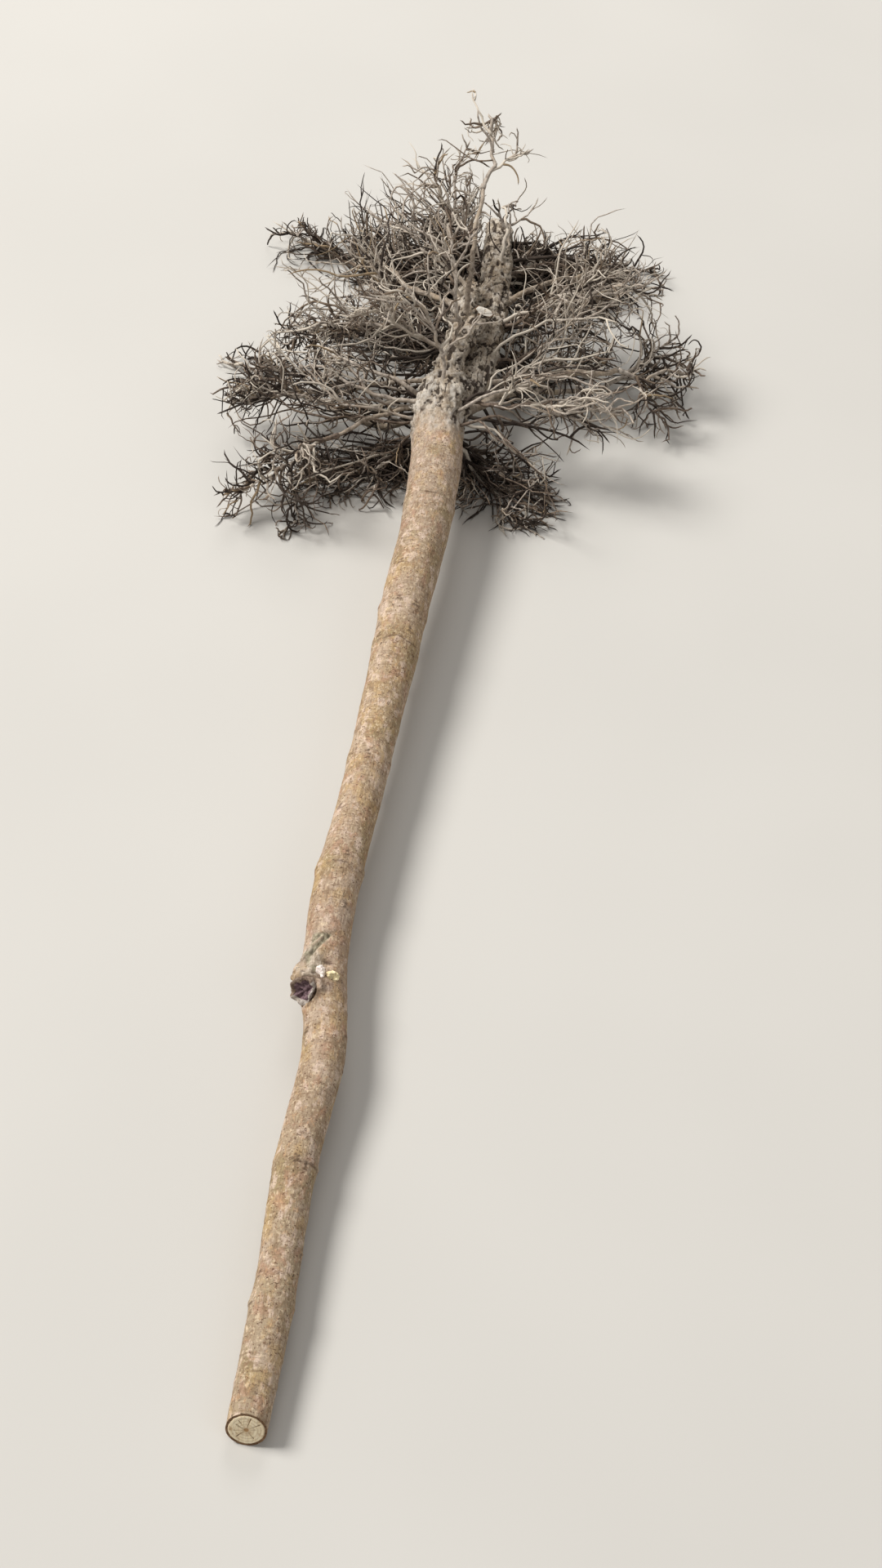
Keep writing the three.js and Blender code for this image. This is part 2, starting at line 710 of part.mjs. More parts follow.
for (const end of BROKEN_ENDS) {
  const { centre, way } = standOnStem(end);
  const points = BROKEN_END_SHAPE.map(([rise]) => centre.clone().addScaledVector(way, rise * end.height));
  const radii = BROKEN_END_SHAPE.map(([, width]) => width * end.radius);
  const solid = limbSolid(points, radii, BROKEN_END_SIDES, 0).subtract(stemRoom);
  tree.add(meshOf(end.name, solid, end.name.endsWith('yellow') ? YELLOW_WOOD : PALE_WOOD));
}

// Side roots, each with a bunch of fine roots on its tip.
const tipBunches = [];
SIDE_ROOTS.forEach((root, index) => {
  const first = headingOf(root.first);
  const last = headingOf(root.last);
  const start = seatOn(limbs[root.on], root.at, first);
  const random = seeded(childSeed(SIDE_ROOT_SEED, index));
  const segments = Math.round(root.length / SIDE_ROOT_STEP);
  const lowest = root.from / 2 + GROUND_CLEARANCE;
  const points = walk(start, first, last, root.length, segments, SIDE_ROOT_KINK, lowest, random);
  const radii = taper(points.length, root.from / 2, root.to / 2);
  const solid = clearOf(limbSolid(points, radii, SIDE_ROOT_SIDES, 0), woodRooms);
  take(root.name, points, radii);
  tree.add(meshOf(root.name, solid, SIDE_ROOT_BARK));
  const tip = points[points.length - 1];
  const way = tip.clone().sub(points[points.length - 2]).normalize();
  const room = limbSolid(points, radii, SIDE_ROOT_SIDES, SEAT_GAP);
  const name = root.name.replace('side_root', 'fine_roots_tip');
  tipBunches.push({ name, tip, way, last, on: root.name, room });
});

// Fine roots
tipBunches.forEach((bunch, index) => {
  const seed = childSeed(TIP_BUNCH_SEED, index);
  const { name, tip, way, last, on, room } = bunch;
  const twigs = growBunch(name, tip, way, last, TIP_BUNCH_LENGTH, seed, [on]);
  if (twigs.length > 0) {
    tree.add(meshOf(name, clearOf(fuse(twigs), [room]), FINE_ROOT_BARK));
  }
});
BUNCHES.forEach((bunch, index) => {
  const seed = childSeed(BUNCH_SEED, index);
  const first = headingOf(bunch.first);
  const last = headingOf(bunch.last);
  const start = seatOn(limbs[bunch.on], bunch.at, first);
  const name = `fine_roots_${bunch.name}`;
  const twigs = growBunch(name, start, first, last, bunch.length, seed, Object.keys(limbs));
  if (twigs.length > 0) {
    tree.add(meshOf(name, clearOf(fuse(twigs), woodRooms), FINE_ROOT_BARK));
  }
});

export default tree;
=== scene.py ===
# A young fruit tree lifted with bare roots, its top cut off and no leaves, lying on a pale floor.
#
# All shapes are worked out in millimetres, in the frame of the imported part, and turned into metres
# when a mesh is made. First come the part's named sizes and its rule for how roots grow.

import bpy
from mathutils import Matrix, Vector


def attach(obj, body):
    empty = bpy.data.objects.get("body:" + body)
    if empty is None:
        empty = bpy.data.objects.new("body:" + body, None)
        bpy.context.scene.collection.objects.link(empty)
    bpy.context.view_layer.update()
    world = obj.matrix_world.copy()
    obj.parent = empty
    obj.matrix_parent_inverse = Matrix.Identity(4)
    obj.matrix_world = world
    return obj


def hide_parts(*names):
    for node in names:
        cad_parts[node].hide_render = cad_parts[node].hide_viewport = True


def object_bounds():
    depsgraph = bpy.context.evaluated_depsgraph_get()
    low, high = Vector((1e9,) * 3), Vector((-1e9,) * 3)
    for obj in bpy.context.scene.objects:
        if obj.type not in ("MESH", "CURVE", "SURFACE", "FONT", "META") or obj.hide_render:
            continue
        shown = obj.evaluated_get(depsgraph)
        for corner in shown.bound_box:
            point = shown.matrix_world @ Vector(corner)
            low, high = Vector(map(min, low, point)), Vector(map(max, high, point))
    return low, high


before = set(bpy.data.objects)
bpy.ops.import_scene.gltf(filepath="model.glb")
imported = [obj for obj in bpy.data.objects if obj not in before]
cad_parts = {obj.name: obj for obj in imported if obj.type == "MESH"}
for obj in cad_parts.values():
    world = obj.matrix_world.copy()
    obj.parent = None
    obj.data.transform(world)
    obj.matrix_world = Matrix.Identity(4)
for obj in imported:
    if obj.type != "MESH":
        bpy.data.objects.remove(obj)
CAD_BOX = [list(corner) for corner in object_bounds()]

import functools
import itertools
import math

import bmesh
import bpy
import numpy as np
from mathutils import Matrix, Vector

MM = 0.001
# How much of a direction may be upright before another one than up is used to turn it.
STEEP = 0.8

# ---- The part's named sizes, in millimetres and degrees

COLLAR = (-11.0, 243.5)
SEAT_DEPTH, FLATTEST_START = 3.0, 0.4

# Rows: distance from the collar, offset to the right, height, diameter.
STEM = np.array([
    [-26, 6, 43, 37], [-10, 4, 43.5, 39], [0, 3, 43.5, 38.5], [14, 3, 43, 36],
    [52, 7.2, 41.5, 36.5], [121, 7.4, 38.5, 34], [187, 3.9, 35.5, 32.4], [249, 2.4, 32.5, 29.8],
    [308, 0, 30, 27.4], [364, -2.3, 27.5, 26.6], [430, -6.2, 25, 27.6], [480, -4.6, 23.4, 26.4],
    [524, 2, 21.6, 25.4], [552, 4.4, 20.4, 25.2], [619, 0, 17, 24], [690, 1.2, 13.8, 22.8],
    [771, 0, 11.1, 21.8],
], float)
TAP_ROOT = np.array([
    [4, 10, 39, 24], [34, 19, 36.5, 23], [84, 26.5, 33, 22.4], [158, 27.5, 28, 22],
    [221, 25, 23, 21.4], [274, 21.5, 19, 20],
], float)
FORK_ROOT = np.array([
    [2, 0, 46, 23], [30, 3, 50, 19], [75, 7, 52.5, 17.6], [118, 8.5, 52, 15.6],
    [142, 8.5, 50.5, 13.4], [156, 7, 49, 7.4],
], float)
CUT_ROOT = np.array([[50, 6, 52, 13.6], [80, 14.5, 57, 13], [104, 23.5, 61, 12]], float)
STEM_STEP, ROOT_STEP = 13.5, 13.0
STEM_CUT_SLANT = 18.0
CUT_ROOT_FACE = (0.25, 0.3, 0.92)
TAP_ROOT_FACE = (0.1, 0.86, 0.5)
DOME_SHARES, DOME_DEPTH = (0.97, 0.82, 0.5), 0.8

LEAF_RINGS = [(98, 0.5), (200, 0.8), (233, 0.5), (330, 0.7), (418, 0.9), (620, 0.7), (702, 0.8)]
LEAF_RING_WIDTH = 6.0
FOOT_RIBS = {"count": 5, "turn": 24, "rise": 1.3, "length": 34}

# Swellings of the stem: distance from the collar, degrees around (0 right, 90 up), rise, length
# along the stem, degrees of spread.
KNOT = (500, 152, 4.4, 16, 40)
KNOT_FOLD = (482, 112, 1.8, 8, 20)
KNOT_HOLLOW = (494, 98, -2.0, 5, 16)

DEAD_BRANCH = {"at": 499, "around": 141, "towards_top": 34, "height": 23.5, "radius": 7.8}
BROKEN_ENDS = {
    "pale": {"at": 490, "around": 106, "towards_top": 28, "height": 20.5, "radius": 2.8},
    "yellow": {"at": 492, "around": 74, "towards_top": 36, "height": 21, "radius": 3.2},
}

# Name, limb, distance past the collar, length, first and last heading, first and last diameter.
SIDE_ROOTS = [
    ("right", "stem", -13, 140, (44, 0), (66, 2), 6.8, 4),
    ("left_near", "stem", 13, 66, (-118, 4), (-138, -14), 3.6, 2.6),
    ("left_far", "fork_root", 32, 74, (-100, -6), (-112, -12), 3.6, 2.6),
    ("low_left", "stem", 8, 118, (-62, -42), (-84, 0), 5.6, 3.4),
    ("low_right", "tap_root", 66, 96, (72, -34), (84, 4), 5.4, 3.2),
    ("rising", "fork_root", 92, 104, (24, 66), (6, 10), 4.4, 2.8),
    ("back_left", "fork_root", 112, 118, (-66, 4), (-34, -24), 4.8, 3),
    ("back_right", "tap_root", 152, 104, (64, 24), (34, -26), 4.6, 3),
]
SIDE_ROOT_STEP, SIDE_ROOT_KINK = 11.0, 0.2

# Name, limb, distance past the collar, length of the main root, first and last heading.
BUNCHES = [
    ("collar_left", "stem", 4, 104, (-96, 22), (-70, -18)),
    ("collar_top", "stem", 10, 82, (-30, 74), (-44, 16)),
    ("collar_right", "stem", 6, 96, (82, 30), (88, -16)),
    ("collar_under", "stem", -2, 98, (-128, -52), (-104, 0)),
    ("collar_low_right", "stem", -4, 98, (92, -44), (112, 0)),
    ("fork_left", "fork_root", 58, 108, (-70, 14), (-84, -14)),
    ("fork_top", "fork_root", 66, 92, (-22, 72), (-20, 14)),
    ("fork_back", "fork_root", 134, 92, (-24, 40), (-12, 6)),
    ("tap_right", "tap_root", 52, 104, (84, 12), (62, -12)),
    ("tap_under", "tap_root", 96, 104, (-52, -48), (-74, 0)),
    ("tap_middle_right", "tap_root", 122, 98, (74, 36), (64, -14)),
    ("tap_left", "tap_root", 166, 98, (-66, 24), (-52, -14)),
    ("tap_top", "tap_root", 200, 68, (24, 60), (14, -12)),
    ("tap_low_right", "tap_root", 206, 82, (58, -22), (64, 0)),
]
TIP_BUNCH_LENGTH = 72.0
BUNCH_MAIN = {"segments": 6, "from": 1.6, "to": 0.9, "kink": 0.34}
LEVELS = [
    {"count": 6, "segments": 4, "shares": (0.4, 0.8), "lean": (0.55, 1.25),
     "from": 1.1, "to": 0.65, "kink": 0.42},
    {"count": 1, "segments": 3, "shares": (0.45, 0.8), "lean": (0.6, 1.2),
     "from": 0.8, "to": 0.55, "kink": 0.42},
]
FIRST_SPROUT, LAST_SPROUT = 0.12, 0.94
LENGTH_AT_BASE, LENGTH_LOST_BY_TIP = 1.1, 0.45
TURN_BACK, DROOP, KINK_KEPT = 0.4, 0.05, 0.6
TWIG_CLEARANCE, GROUND_CLEARANCE, SHORTEST_KEPT = 0.9, 0.1, 12.0
SIDE_ROOT_SEED, TIP_BUNCH_SEED, BUNCH_SEED = 11, 501, 901

# ---- The part's rule for how roots grow

MASK = 0xFFFFFFFF


def seeded(seed):
    """Draws the same row of numbers from 0 to 1 for the same seed."""
    state = seed & MASK

    def draw():
        nonlocal state
        state = (state + 0x6D2B79F5) & MASK
        mixed = ((state ^ (state >> 15)) * (state | 1)) & MASK
        mixed ^= (mixed + (((mixed ^ (mixed >> 7)) * (mixed | 61)) & MASK)) & MASK
        return (mixed ^ (mixed >> 14)) / 4294967296

    return draw


def child_seed(seed, index):
    return (seed * 1664525 + (index + 1) * 40503 + 1013904223) & MASK


def unit(v):
    """A direction, or rows of them, made 1 long."""
    return v / np.linalg.norm(v, axis=-1, keepdims=True)


def between(span, share):
    return span[0] + (span[1] - span[0]) * share


def curve(a, b, rise, fall, t):
    """A smooth curve from a to b, with its slope at each end."""
    return a + (b - a) * t * t * (3 - 2 * t) + rise * t * (1 - t) ** 2 - fall * t * t * (1 - t)


def values_at(rows, distance):
    """Side, height and diameter on the smooth curves through the rows."""
    i = np.searchsorted(rows[1:-1, 0], distance)
    span = rows[i + 1][0] - rows[i][0]

    def slope(row):
        step = rows[min(row + 1, len(rows) - 1)] - rows[max(row - 1, 0)]
        return step[1:] / step[0] * span

    t = (distance - rows[i][0]) / span
    return curve(rows[i][1:], rows[i + 1][1:], slope(i), slope(i + 1), t)


def along_limb(rows, distances, sign):
    """The middles of a limb at these distances from the collar, and its radii there."""
    side, height, wide = np.array([values_at(rows, d) for d in distances]).T
    return np.stack([COLLAR[0] + side, COLLAR[1] + sign * distances, height], axis=1), wide / 2


def tangents(lines):
    """The direction at each point of a line, or of each of many lines."""
    ways = np.empty_like(lines)
    ways[..., 1:-1, :] = lines[..., 2:, :] - lines[..., :-2, :]
    ways[..., 0, :] = lines[..., 1, :] - lines[..., 0, :]
    ways[..., -1, :] = lines[..., -1, :] - lines[..., -2, :]
    return unit(ways)


def across_limb(way):
    """Two directions across a limb that lies along Y: its right and its top."""
    along = -way if way[1] < 0 else way
    right = unit(np.cross(along, (0, 0, 1)))
    return right, unit(np.cross(right, along))


def outward(turn, right, top):
    """The direction, or one for each turn in radians, from right towards top."""
    return np.multiply.outer(np.cos(turn), right) + np.multiply.outer(np.sin(turn), top)


def heading_of(heading):
    turn, rise = (math.radians(x) for x in heading)
    flat = math.cos(rise)
    return np.array([math.sin(turn) * flat, math.cos(turn) * flat, math.sin(rise)])


def limb_from(rows, step, sign):
    start, end = rows[0][0], rows[-1][0]
    count = math.ceil((end - start) / step)
    distances = start + (end - start) * np.arange(count + 1) / count
    points, radii = along_limb(rows, distances, sign)
    return {"points": points, "radii": radii, "past": sign * distances}


def place_on(limb, past):
    """The middle of a limb at a distance past the collar, and its radius there."""
    places, points, radii = limb["past"], limb["points"], limb["radii"]
    order = np.sign(places[-1] - places[0])
    i = np.searchsorted(order * places[1:-1], order * past)
    share = (past - places[i]) / (places[i + 1] - places[i])
    return between(points[i:], share), between(radii[i:], share)


def axes_on(limb, past, step=1):
    """The middle of a limb there, its radius, and the directions along, to the right and up."""
    centre, radius = place_on(limb, past)
    along = unit(place_on(limb, past + step)[0] - centre)
    return centre, radius, along, *across_limb(along)


def seat_on(limb, past, way):
    """Where a root that leaves a limb in this direction starts, sunk a little under the bark."""
    centre, radius, _, right, top = axes_on(limb, past)
    out = max(math.hypot(way @ right, way @ top), FLATTEST_START)
    return centre + way * (radius - SEAT_DEPTH) / out


def walk(start, first, last, length, segments, kink, lowest, random):
    points = [np.array(start, float)]
    stray = np.zeros(3)
    for i in range(segments):
        way = unit(first + (last - first) * (i + 0.5) / segments)
        stray = KINK_KEPT * stray + kink * (2 * np.array([random(), random(), random()]) - 1)
        way = unit(way + stray)
        after = points[-1] + way * length / segments
        after[2] = max(after[2], lowest)
        points.append(after)
    return np.array(points)


def taper(count, first, last):
    return first + (last - first) * np.arange(count) / (count - 1)


def gaps_to(a0, a1, starts, ends):
    """The shortest distances from one straight piece to many."""
    u, v, w = a1 - a0, ends - starts, a0 - starts
    uu, vv = u @ u, (v * v).sum(1)
    uv, uw, vw = v @ u, w @ u, (v * w).sum(1)
    cross = uu * vv - uv * uv
    crossing = cross > 1e-9
    s = np.where(crossing, (uv * vw - vv * uw) / np.where(crossing, cross, 1), 0).clip(0, 1)
    t = ((uv * s + vw) / vv).clip(0, 1)
    s = ((uv * t - uw) / uu).clip(0, 1)
    return np.linalg.norm(w + s[:, None] * u - t[:, None] * v, axis=1)


taken = {"owner": [], "start": [], "end": [], "radius": []}


def take(owner, points, radii):
    for i in range(len(points) - 1):
        taken["owner"].append(owner)
        taken["start"].append(points[i])
        taken["end"].append(points[i + 1])
        taken["radius"].append(max(radii[i], radii[i + 1]))


def free_segments(points, radii, parents):
    starts, ends = np.array(taken["start"]), np.array(taken["end"])
    room = np.array(taken["radius"]) + TWIG_CLEARANCE
    own = np.array([owner in parents for owner in taken["owner"]])
    for i in range(len(points) - 1):
        near = gaps_to(points[i], points[i + 1], starts, ends) < room + max(radii[i], radii[i + 1])
        if (near & ~own if i < 1 else near).any():
            return i
    return len(points) - 1


def grow_twig(owner, start, first, last, length, rule, level, parents, random):
    """A root as far as it is free of the others, or None if too little is."""
    lowest = rule["from"] + GROUND_CLEARANCE
    line = walk(start, first, last, length, rule["segments"], rule["kink"], lowest, random)
    radii = taper(len(line), rule["from"], rule["to"])
    free = free_segments(line, radii, parents)
    kept = length * free / (len(line) - 1)
    if free < 2 or kept < SHORTEST_KEPT:
        return None
    take(owner, line[:free + 1], radii[:free + 1])
    return {"owner": owner, "points": line[:free + 1], "length": kept, "level": level}


def sprout(parent, seed, twigs):
    """The side roots of a root, and theirs."""
    level = parent["level"]
    if level == len(LEVELS):
        return
    rule, points = LEVELS[level], parent["points"]
    ways = tangents(points)
    for k in range(rule["count"]):
        own_seed = child_seed(seed, k)
        random = seeded(own_seed)
        share = FIRST_SPROUT + (LAST_SPROUT - FIRST_SPROUT) * (k + random()) / rule["count"]
        place = share * (len(points) - 1)
        i = min(int(place), len(points) - 2)
        start = points[i] + (points[i + 1] - points[i]) * (place - i)
        out = unit(np.array([random() - 0.5, random() - 0.5, random() - 0.5]))
        out = unit(out - ways[i] * (out @ ways[i]))
        first = unit(ways[i] + out * between(rule["lean"], random()))
        last = first + (ways[i] - first) * TURN_BACK
        last[2] -= DROOP
        grown = LENGTH_AT_BASE - LENGTH_LOST_BY_TIP * share
        length = parent["length"] * between(rule["shares"], random()) * grown
        owner, parents = f"{parent['owner']}/{k}", [parent["owner"]]
        twig = grow_twig(owner, start, first, last, length, rule, level + 1, parents, random)
        if twig:
            twigs.append(twig)
            sprout(twig, own_seed, twigs)


def grow_bunch(name, start, first, last, length, seed, parents):
    main = grow_twig(name, start, first, last, length, BUNCH_MAIN, 0, parents, seeded(seed))
    twigs = [main] if main else []
    if main:
        sprout(main, seed, twigs)
    return twigs


limbs = {
    "stem": limb_from(STEM, STEM_STEP, -1),
    "tap_root": limb_from(TAP_ROOT, ROOT_STEP, 1),
    "fork_root": limb_from(FORK_ROOT, ROOT_STEP, 1),
    "cut_root": limb_from(CUT_ROOT, ROOT_STEP, 1),
}
for name, limb in limbs.items():
    take(name, limb["points"], limb["radii"])

side_roots = {}
for index, (name, on, at, length, first, last, wide, narrow) in enumerate(SIDE_ROOTS):
    way, last_way = heading_of(first), heading_of(last)
    start = seat_on(limbs[on], at, way)
    segments = int(length / SIDE_ROOT_STEP + 0.5)
    random = seeded(child_seed(SIDE_ROOT_SEED, index))
    lowest = wide / 2 + GROUND_CLEARANCE
    line = walk(start, way, last_way, length, segments, SIDE_ROOT_KINK, lowest, random)
    radii = taper(len(line), wide / 2, narrow / 2)
    side_roots[name] = {"points": line, "radii": radii, "last": last_way}
    take(f"side_root_{name}", line, radii)
LIMB_PIECES = list(zip(*taken.values()))

bunches = {}
for index, (name, root) in enumerate(side_roots.items()):
    tip, before = root["points"][-1], root["points"][-2]
    bunches[f"tip_{name}"] = grow_bunch(
        f"tip_{name}", tip, unit(tip - before), root["last"], TIP_BUNCH_LENGTH,
        child_seed(TIP_BUNCH_SEED, index), [f"side_root_{name}"],
    )
for index, (name, on, at, length, first, last) in enumerate(BUNCHES):
    way = heading_of(first)
    start = seat_on(limbs[on], at, way)
    seed = child_seed(BUNCH_SEED, index)
    bunches[name] = grow_bunch(name, start, way, heading_of(last), length, seed, list(limbs))

# ---- Noise

# Every sample gives a number from -1 to 1, the same each run.


def cell_values(x, y, z, seed):
    """A number from 0 to 1 for each whole-numbered cell."""
    mixed = (x * 374761393 + y * 668265263 + z * 1274126177 + seed * 974711) & MASK
    mixed = mixed.astype(np.uint64)
    for shift, factor in ((13, 1103515245), (16, 2246822519)):
        mixed = ((mixed ^ (mixed >> np.uint64(shift))) * np.uint64(factor)) & np.uint64(MASK)
    return ((mixed ^ (mixed >> np.uint64(15))) & np.uint64(0xFFFFFF)).astype(float) / 0x1000000


def noise(points, size, seed):
    """Smooth noise whose lumps are about this size, a number or one for each axis."""
    scaled = points / np.asarray(size, float)
    cell = np.floor(scaled).astype(np.int64)
    part = scaled - cell
    part = part * part * part * (part * (part * 6 - 15) + 10)
    total = np.zeros(len(points))
    for corner in itertools.product((0, 1), repeat=3):
        x, y, z = (part[:, k] if far else 1 - part[:, k] for k, far in enumerate(corner))
        total += x * y * z * cell_values(*(cell + corner).T, seed)
    return 2 * total - 1


def fractal(points, size, seed):
    """Noise with two finer ones on it."""
    total, weight, size = 0.0, 1.0, np.asarray(size, float)
    for octave in range(3):
        total = total + weight * noise(points, size, seed + octave)
        weight, size = weight / 2, size / 2.03
    return total / 1.75


def ridges(points, size, seed):
    """Sharp ridges: 1 on a ridge, down to 0."""
    return 1 - np.abs(noise(points, size, seed))


def smoothstep(low, high, value):
    t = np.clip((value - low) / (high - low), 0, 1)
    return t * t * (3 - 2 * t)


def hump(along, across=0.0, power=2):
    """1 where both are 0, fading out where either passes 1."""
    return np.exp(-(along ** 2) - across ** power)


# ---- Meshes


def placed(name, data):
    piece = bpy.data.objects.new(name, data)
    bpy.context.scene.collection.objects.link(piece)
    return piece


def set_points(mesh, points):
    mesh.vertices.foreach_set("co", (points * MM).astype(np.float32).ravel())


def mesh_object(name, points, faces, materials, kinds=None, body="root"):
    """A smooth mesh from points in millimetres and triangles."""
    mesh = bpy.data.meshes.new(name)
    mesh.vertices.add(len(points))
    set_points(mesh, points)
    mesh.loops.add(faces.size)
    mesh.loops.foreach_set("vertex_index", faces.astype(np.int32).ravel())
    mesh.polygons.add(len(faces))
    mesh.polygons.foreach_set("loop_start", np.arange(0, faces.size, 3, dtype=np.int32))
    mesh.polygons.foreach_set("use_smooth", np.ones(len(faces), bool))
    if kinds is not None:
        mesh.polygons.foreach_set("material_index", kinds.astype(np.int32))
    mesh.update(calc_edges=True)
    mesh.validate()
    for material in materials:
        mesh.materials.append(material)
    piece = placed(name, mesh)
    if body:
        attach(piece, body)
    return piece


def full_turn(sides):
    return 2 * np.pi * np.arange(sides) / sides


def side_faces(rings, sides):
    """The triangles between rings of points, row by row."""
    a = np.arange((rings - 1) * sides).reshape(-1, sides)
    b = np.roll(a, -1, axis=1)
    return np.stack([a, b, b + sides, a, b + sides, a + sides], axis=2).reshape(-1, 3)


def skin(rings, first_point, last_point):
    """A closed triangle skin over rings of points and a point over each end."""
    count, sides, _ = np.shape(rings)
    points = np.concatenate([*rings, [first_point, last_point]])
    k = np.arange(sides)
    after, first, end = np.roll(k, -1), count * sides, (count - 1) * sides
    caps = np.stack([first + 0 * k, after, k, first + 1 + 0 * k, end + k, end + after], axis=1)
    return points, np.concatenate([side_faces(count, sides), caps.reshape(-1, 3)])


def tubes(lines, radii, sides):
    """Closed round tubes along many lines with the same number of points, pointed at their tips.
    Returns the points and the triangles, and which line each triangle belongs to."""
    count, places, _ = lines.shape
    ways = tangents(lines)
    helper = np.where(np.abs(ways[:, 0, 2:3]) > STEEP, (1.0, 0.0, 0.0), (0.0, 0.0, 1.0))
    right = np.cross(ways[:, 0], helper)
    angle = full_turn(sides)[None, :, None]
    rings = np.empty((count, places - 1, sides, 3))
    for i in range(places - 1):
        way = ways[:, i]
        right = unit(right - way * (right * way).sum(1, keepdims=True))
        turn = np.cos(angle) * right[:, None] + np.sin(angle) * np.cross(right, way)[:, None]
        rings[:, i] = lines[:, i, None] + radii[:, i, None, None] * turn
    points = np.concatenate([rings.reshape(count, -1, 3), lines[:, -1:]], axis=1)
    end, tip, k = (places - 2) * sides, (places - 1) * sides, np.arange(sides)
    faces = np.concatenate([
        side_faces(places - 1, sides)[:, [0, 2, 1]],
        np.stack([end + k, tip + 0 * k, end + np.roll(k, -1)], axis=1),
        np.stack([0 * k, k, k + 1], axis=1)[1:-1],
    ])
    shifted = faces[None] + (np.arange(count) * (tip + 1))[:, None, None]
    return points.reshape(-1, 3), shifted.reshape(-1, 3), np.repeat(np.arange(count), len(faces))


def joined(parts):
    """Several (points, faces, kinds) as one."""
    points, faces, kinds = zip(*parts)
    offsets = np.cumsum([0, *map(len, points[:-1])])
    return (np.concatenate(points), np.concatenate([f + o for f, o in zip(faces, offsets)]),
            np.concatenate(kinds))


def distances_along(line):
    return np.concatenate([[0], np.linalg.norm(np.diff(line, axis=0), axis=1).cumsum()])


def dense_line(points, step, corners=0.0):
    """Points every step or so on the smooth curve through a few, and the places that they have
    among the few. Corners of 1 keep the straight line from each to the next."""
    last = len(points) - 1
    lines, places = [], []
    for i in range(last):
        before, a, b, after = (points[min(max(i + k, 0), last)] for k in (-1, 0, 1, 2))
        count = max(2, int(np.linalg.norm(b - a) / step + 0.5))
        for t in np.arange(count) / count:
            bent = curve(a, b, (b - before) / 2, (after - a) / 2, t)
            lines.append(bent + corners * (a + (b - a) * t - bent))
            places.append(i + t)
    return np.array([*lines, points[-1]]), np.array([*places, last])


def add_floats(piece, name, values):
    attribute = piece.data.attributes.new(name, "FLOAT", "POINT")
    attribute.data.foreach_set("value", np.asarray(values, np.float32))


# ---- Materials


def linear(r, g, b):
    """A colour as seen on a screen, each part from 0 to 255, as light."""
    parts = [x / 255 for x in (r, g, b)]
    return *(x / 12.92 if x <= 0.04045 else ((x + 0.055) / 1.055) ** 2.4 for x in parts), 1.0


class Look:
    """A material under construction: small helpers that add one node each and return its output."""

    def __init__(self, name, roughness, specular=0.25):
        self.material = bpy.data.materials.new(name)
        self.material.use_nodes = True
        self.tree = self.material.node_tree
        self.shader = self.tree.nodes["Principled BSDF"]
        self._fill(self.shader, {"Roughness": roughness, "Specular IOR Level": specular})
        self.place = self._node("TexCoord").outputs["Object"]

    def _fill(self, node, inputs):
        """Links or sets inputs. A tuple is a colour as seen on a screen, None leaves an input."""
        for key, value in inputs.items():
            if isinstance(value, bpy.types.NodeSocket):
                self.tree.links.new(value, node.inputs[key])
            elif value is not None:
                plain = not isinstance(value, tuple)
                node.inputs[key].default_value = value if plain else linear(*value)

    def _node(self, kind, inputs=(), **settings):
        node = self.tree.nodes.new(f"ShaderNode{kind}")
        for key, value in settings.items():
            setattr(node, key, value)
        self._fill(node, dict(inputs))
        return node

    def noise(self, size, detail=3.0, roughness=0.55, shift=0.0):
        """Noise whose lumps are this many millimetres along each axis of the object."""
        stretched = self._node("Mapping", {
            "Vector": self.place, "Location": [shift, 0.7 * shift, -shift],
            "Scale": [1000 / s for s in size]}).outputs["Vector"]
        return self._node("TexNoise", {
            "Vector": stretched, "Scale": 1.0, "Detail": detail, "Roughness": roughness,
        }).outputs["Fac"]

    def along(self, axis):
        return self._node("SeparateXYZ", {0: self.place}).outputs[axis]

    def attribute(self, name):
        return self._node("Attribute", attribute_name=name).outputs["Fac"]

    def spread(self, *given):
        """From value, low and high to a share from 0 to 1, or between two more numbers."""
        given = (*given, 0.0, 1.0)[:5]
        return self._node(
            "MapRange", enumerate(given), interpolation_type="SMOOTHSTEP").outputs[0]

    def times(self, a, b):
        return self._node("Math", {0: a, 1: b}, operation="MULTIPLY").outputs[0]

    def mix(self, share, a, b):
        return self._node("Mix", {0: share, 6: a, 7: b}, data_type="RGBA").outputs[2]

    def layers(self, colour, rows):
        """Patches of other colours over one: size, shift, low, high, how much, colour."""
        for size, shift, low, high, most, over in rows:
            share = self.spread(self.noise(size, 3, 0.6, shift), low, high, 0.0, most)
            colour = self.mix(share, colour, over)
        return colour

    def ramp(self, value, stops):
        node = self._node("ValToRGB", {0: value})
        while len(node.color_ramp.elements) < len(stops):
            node.color_ramp.elements.new(0.5)
        for element, (place, colour) in zip(node.color_ramp.elements, stops):
            element.position, element.color = place, linear(*colour)
        return node.outputs[0]

    def bump(self, height, distance, strength=1.0, under=None):
        return self._node("Bump", {
            "Strength": strength, "Distance": distance * MM, "Height": height, "Normal": under,
        }).outputs[0]

    def finish(self, colour, normal, roughness=None):
        self._fill(self.shader, {"Base Color": colour, "Normal": normal, "Roughness": roughness})
        return self.material


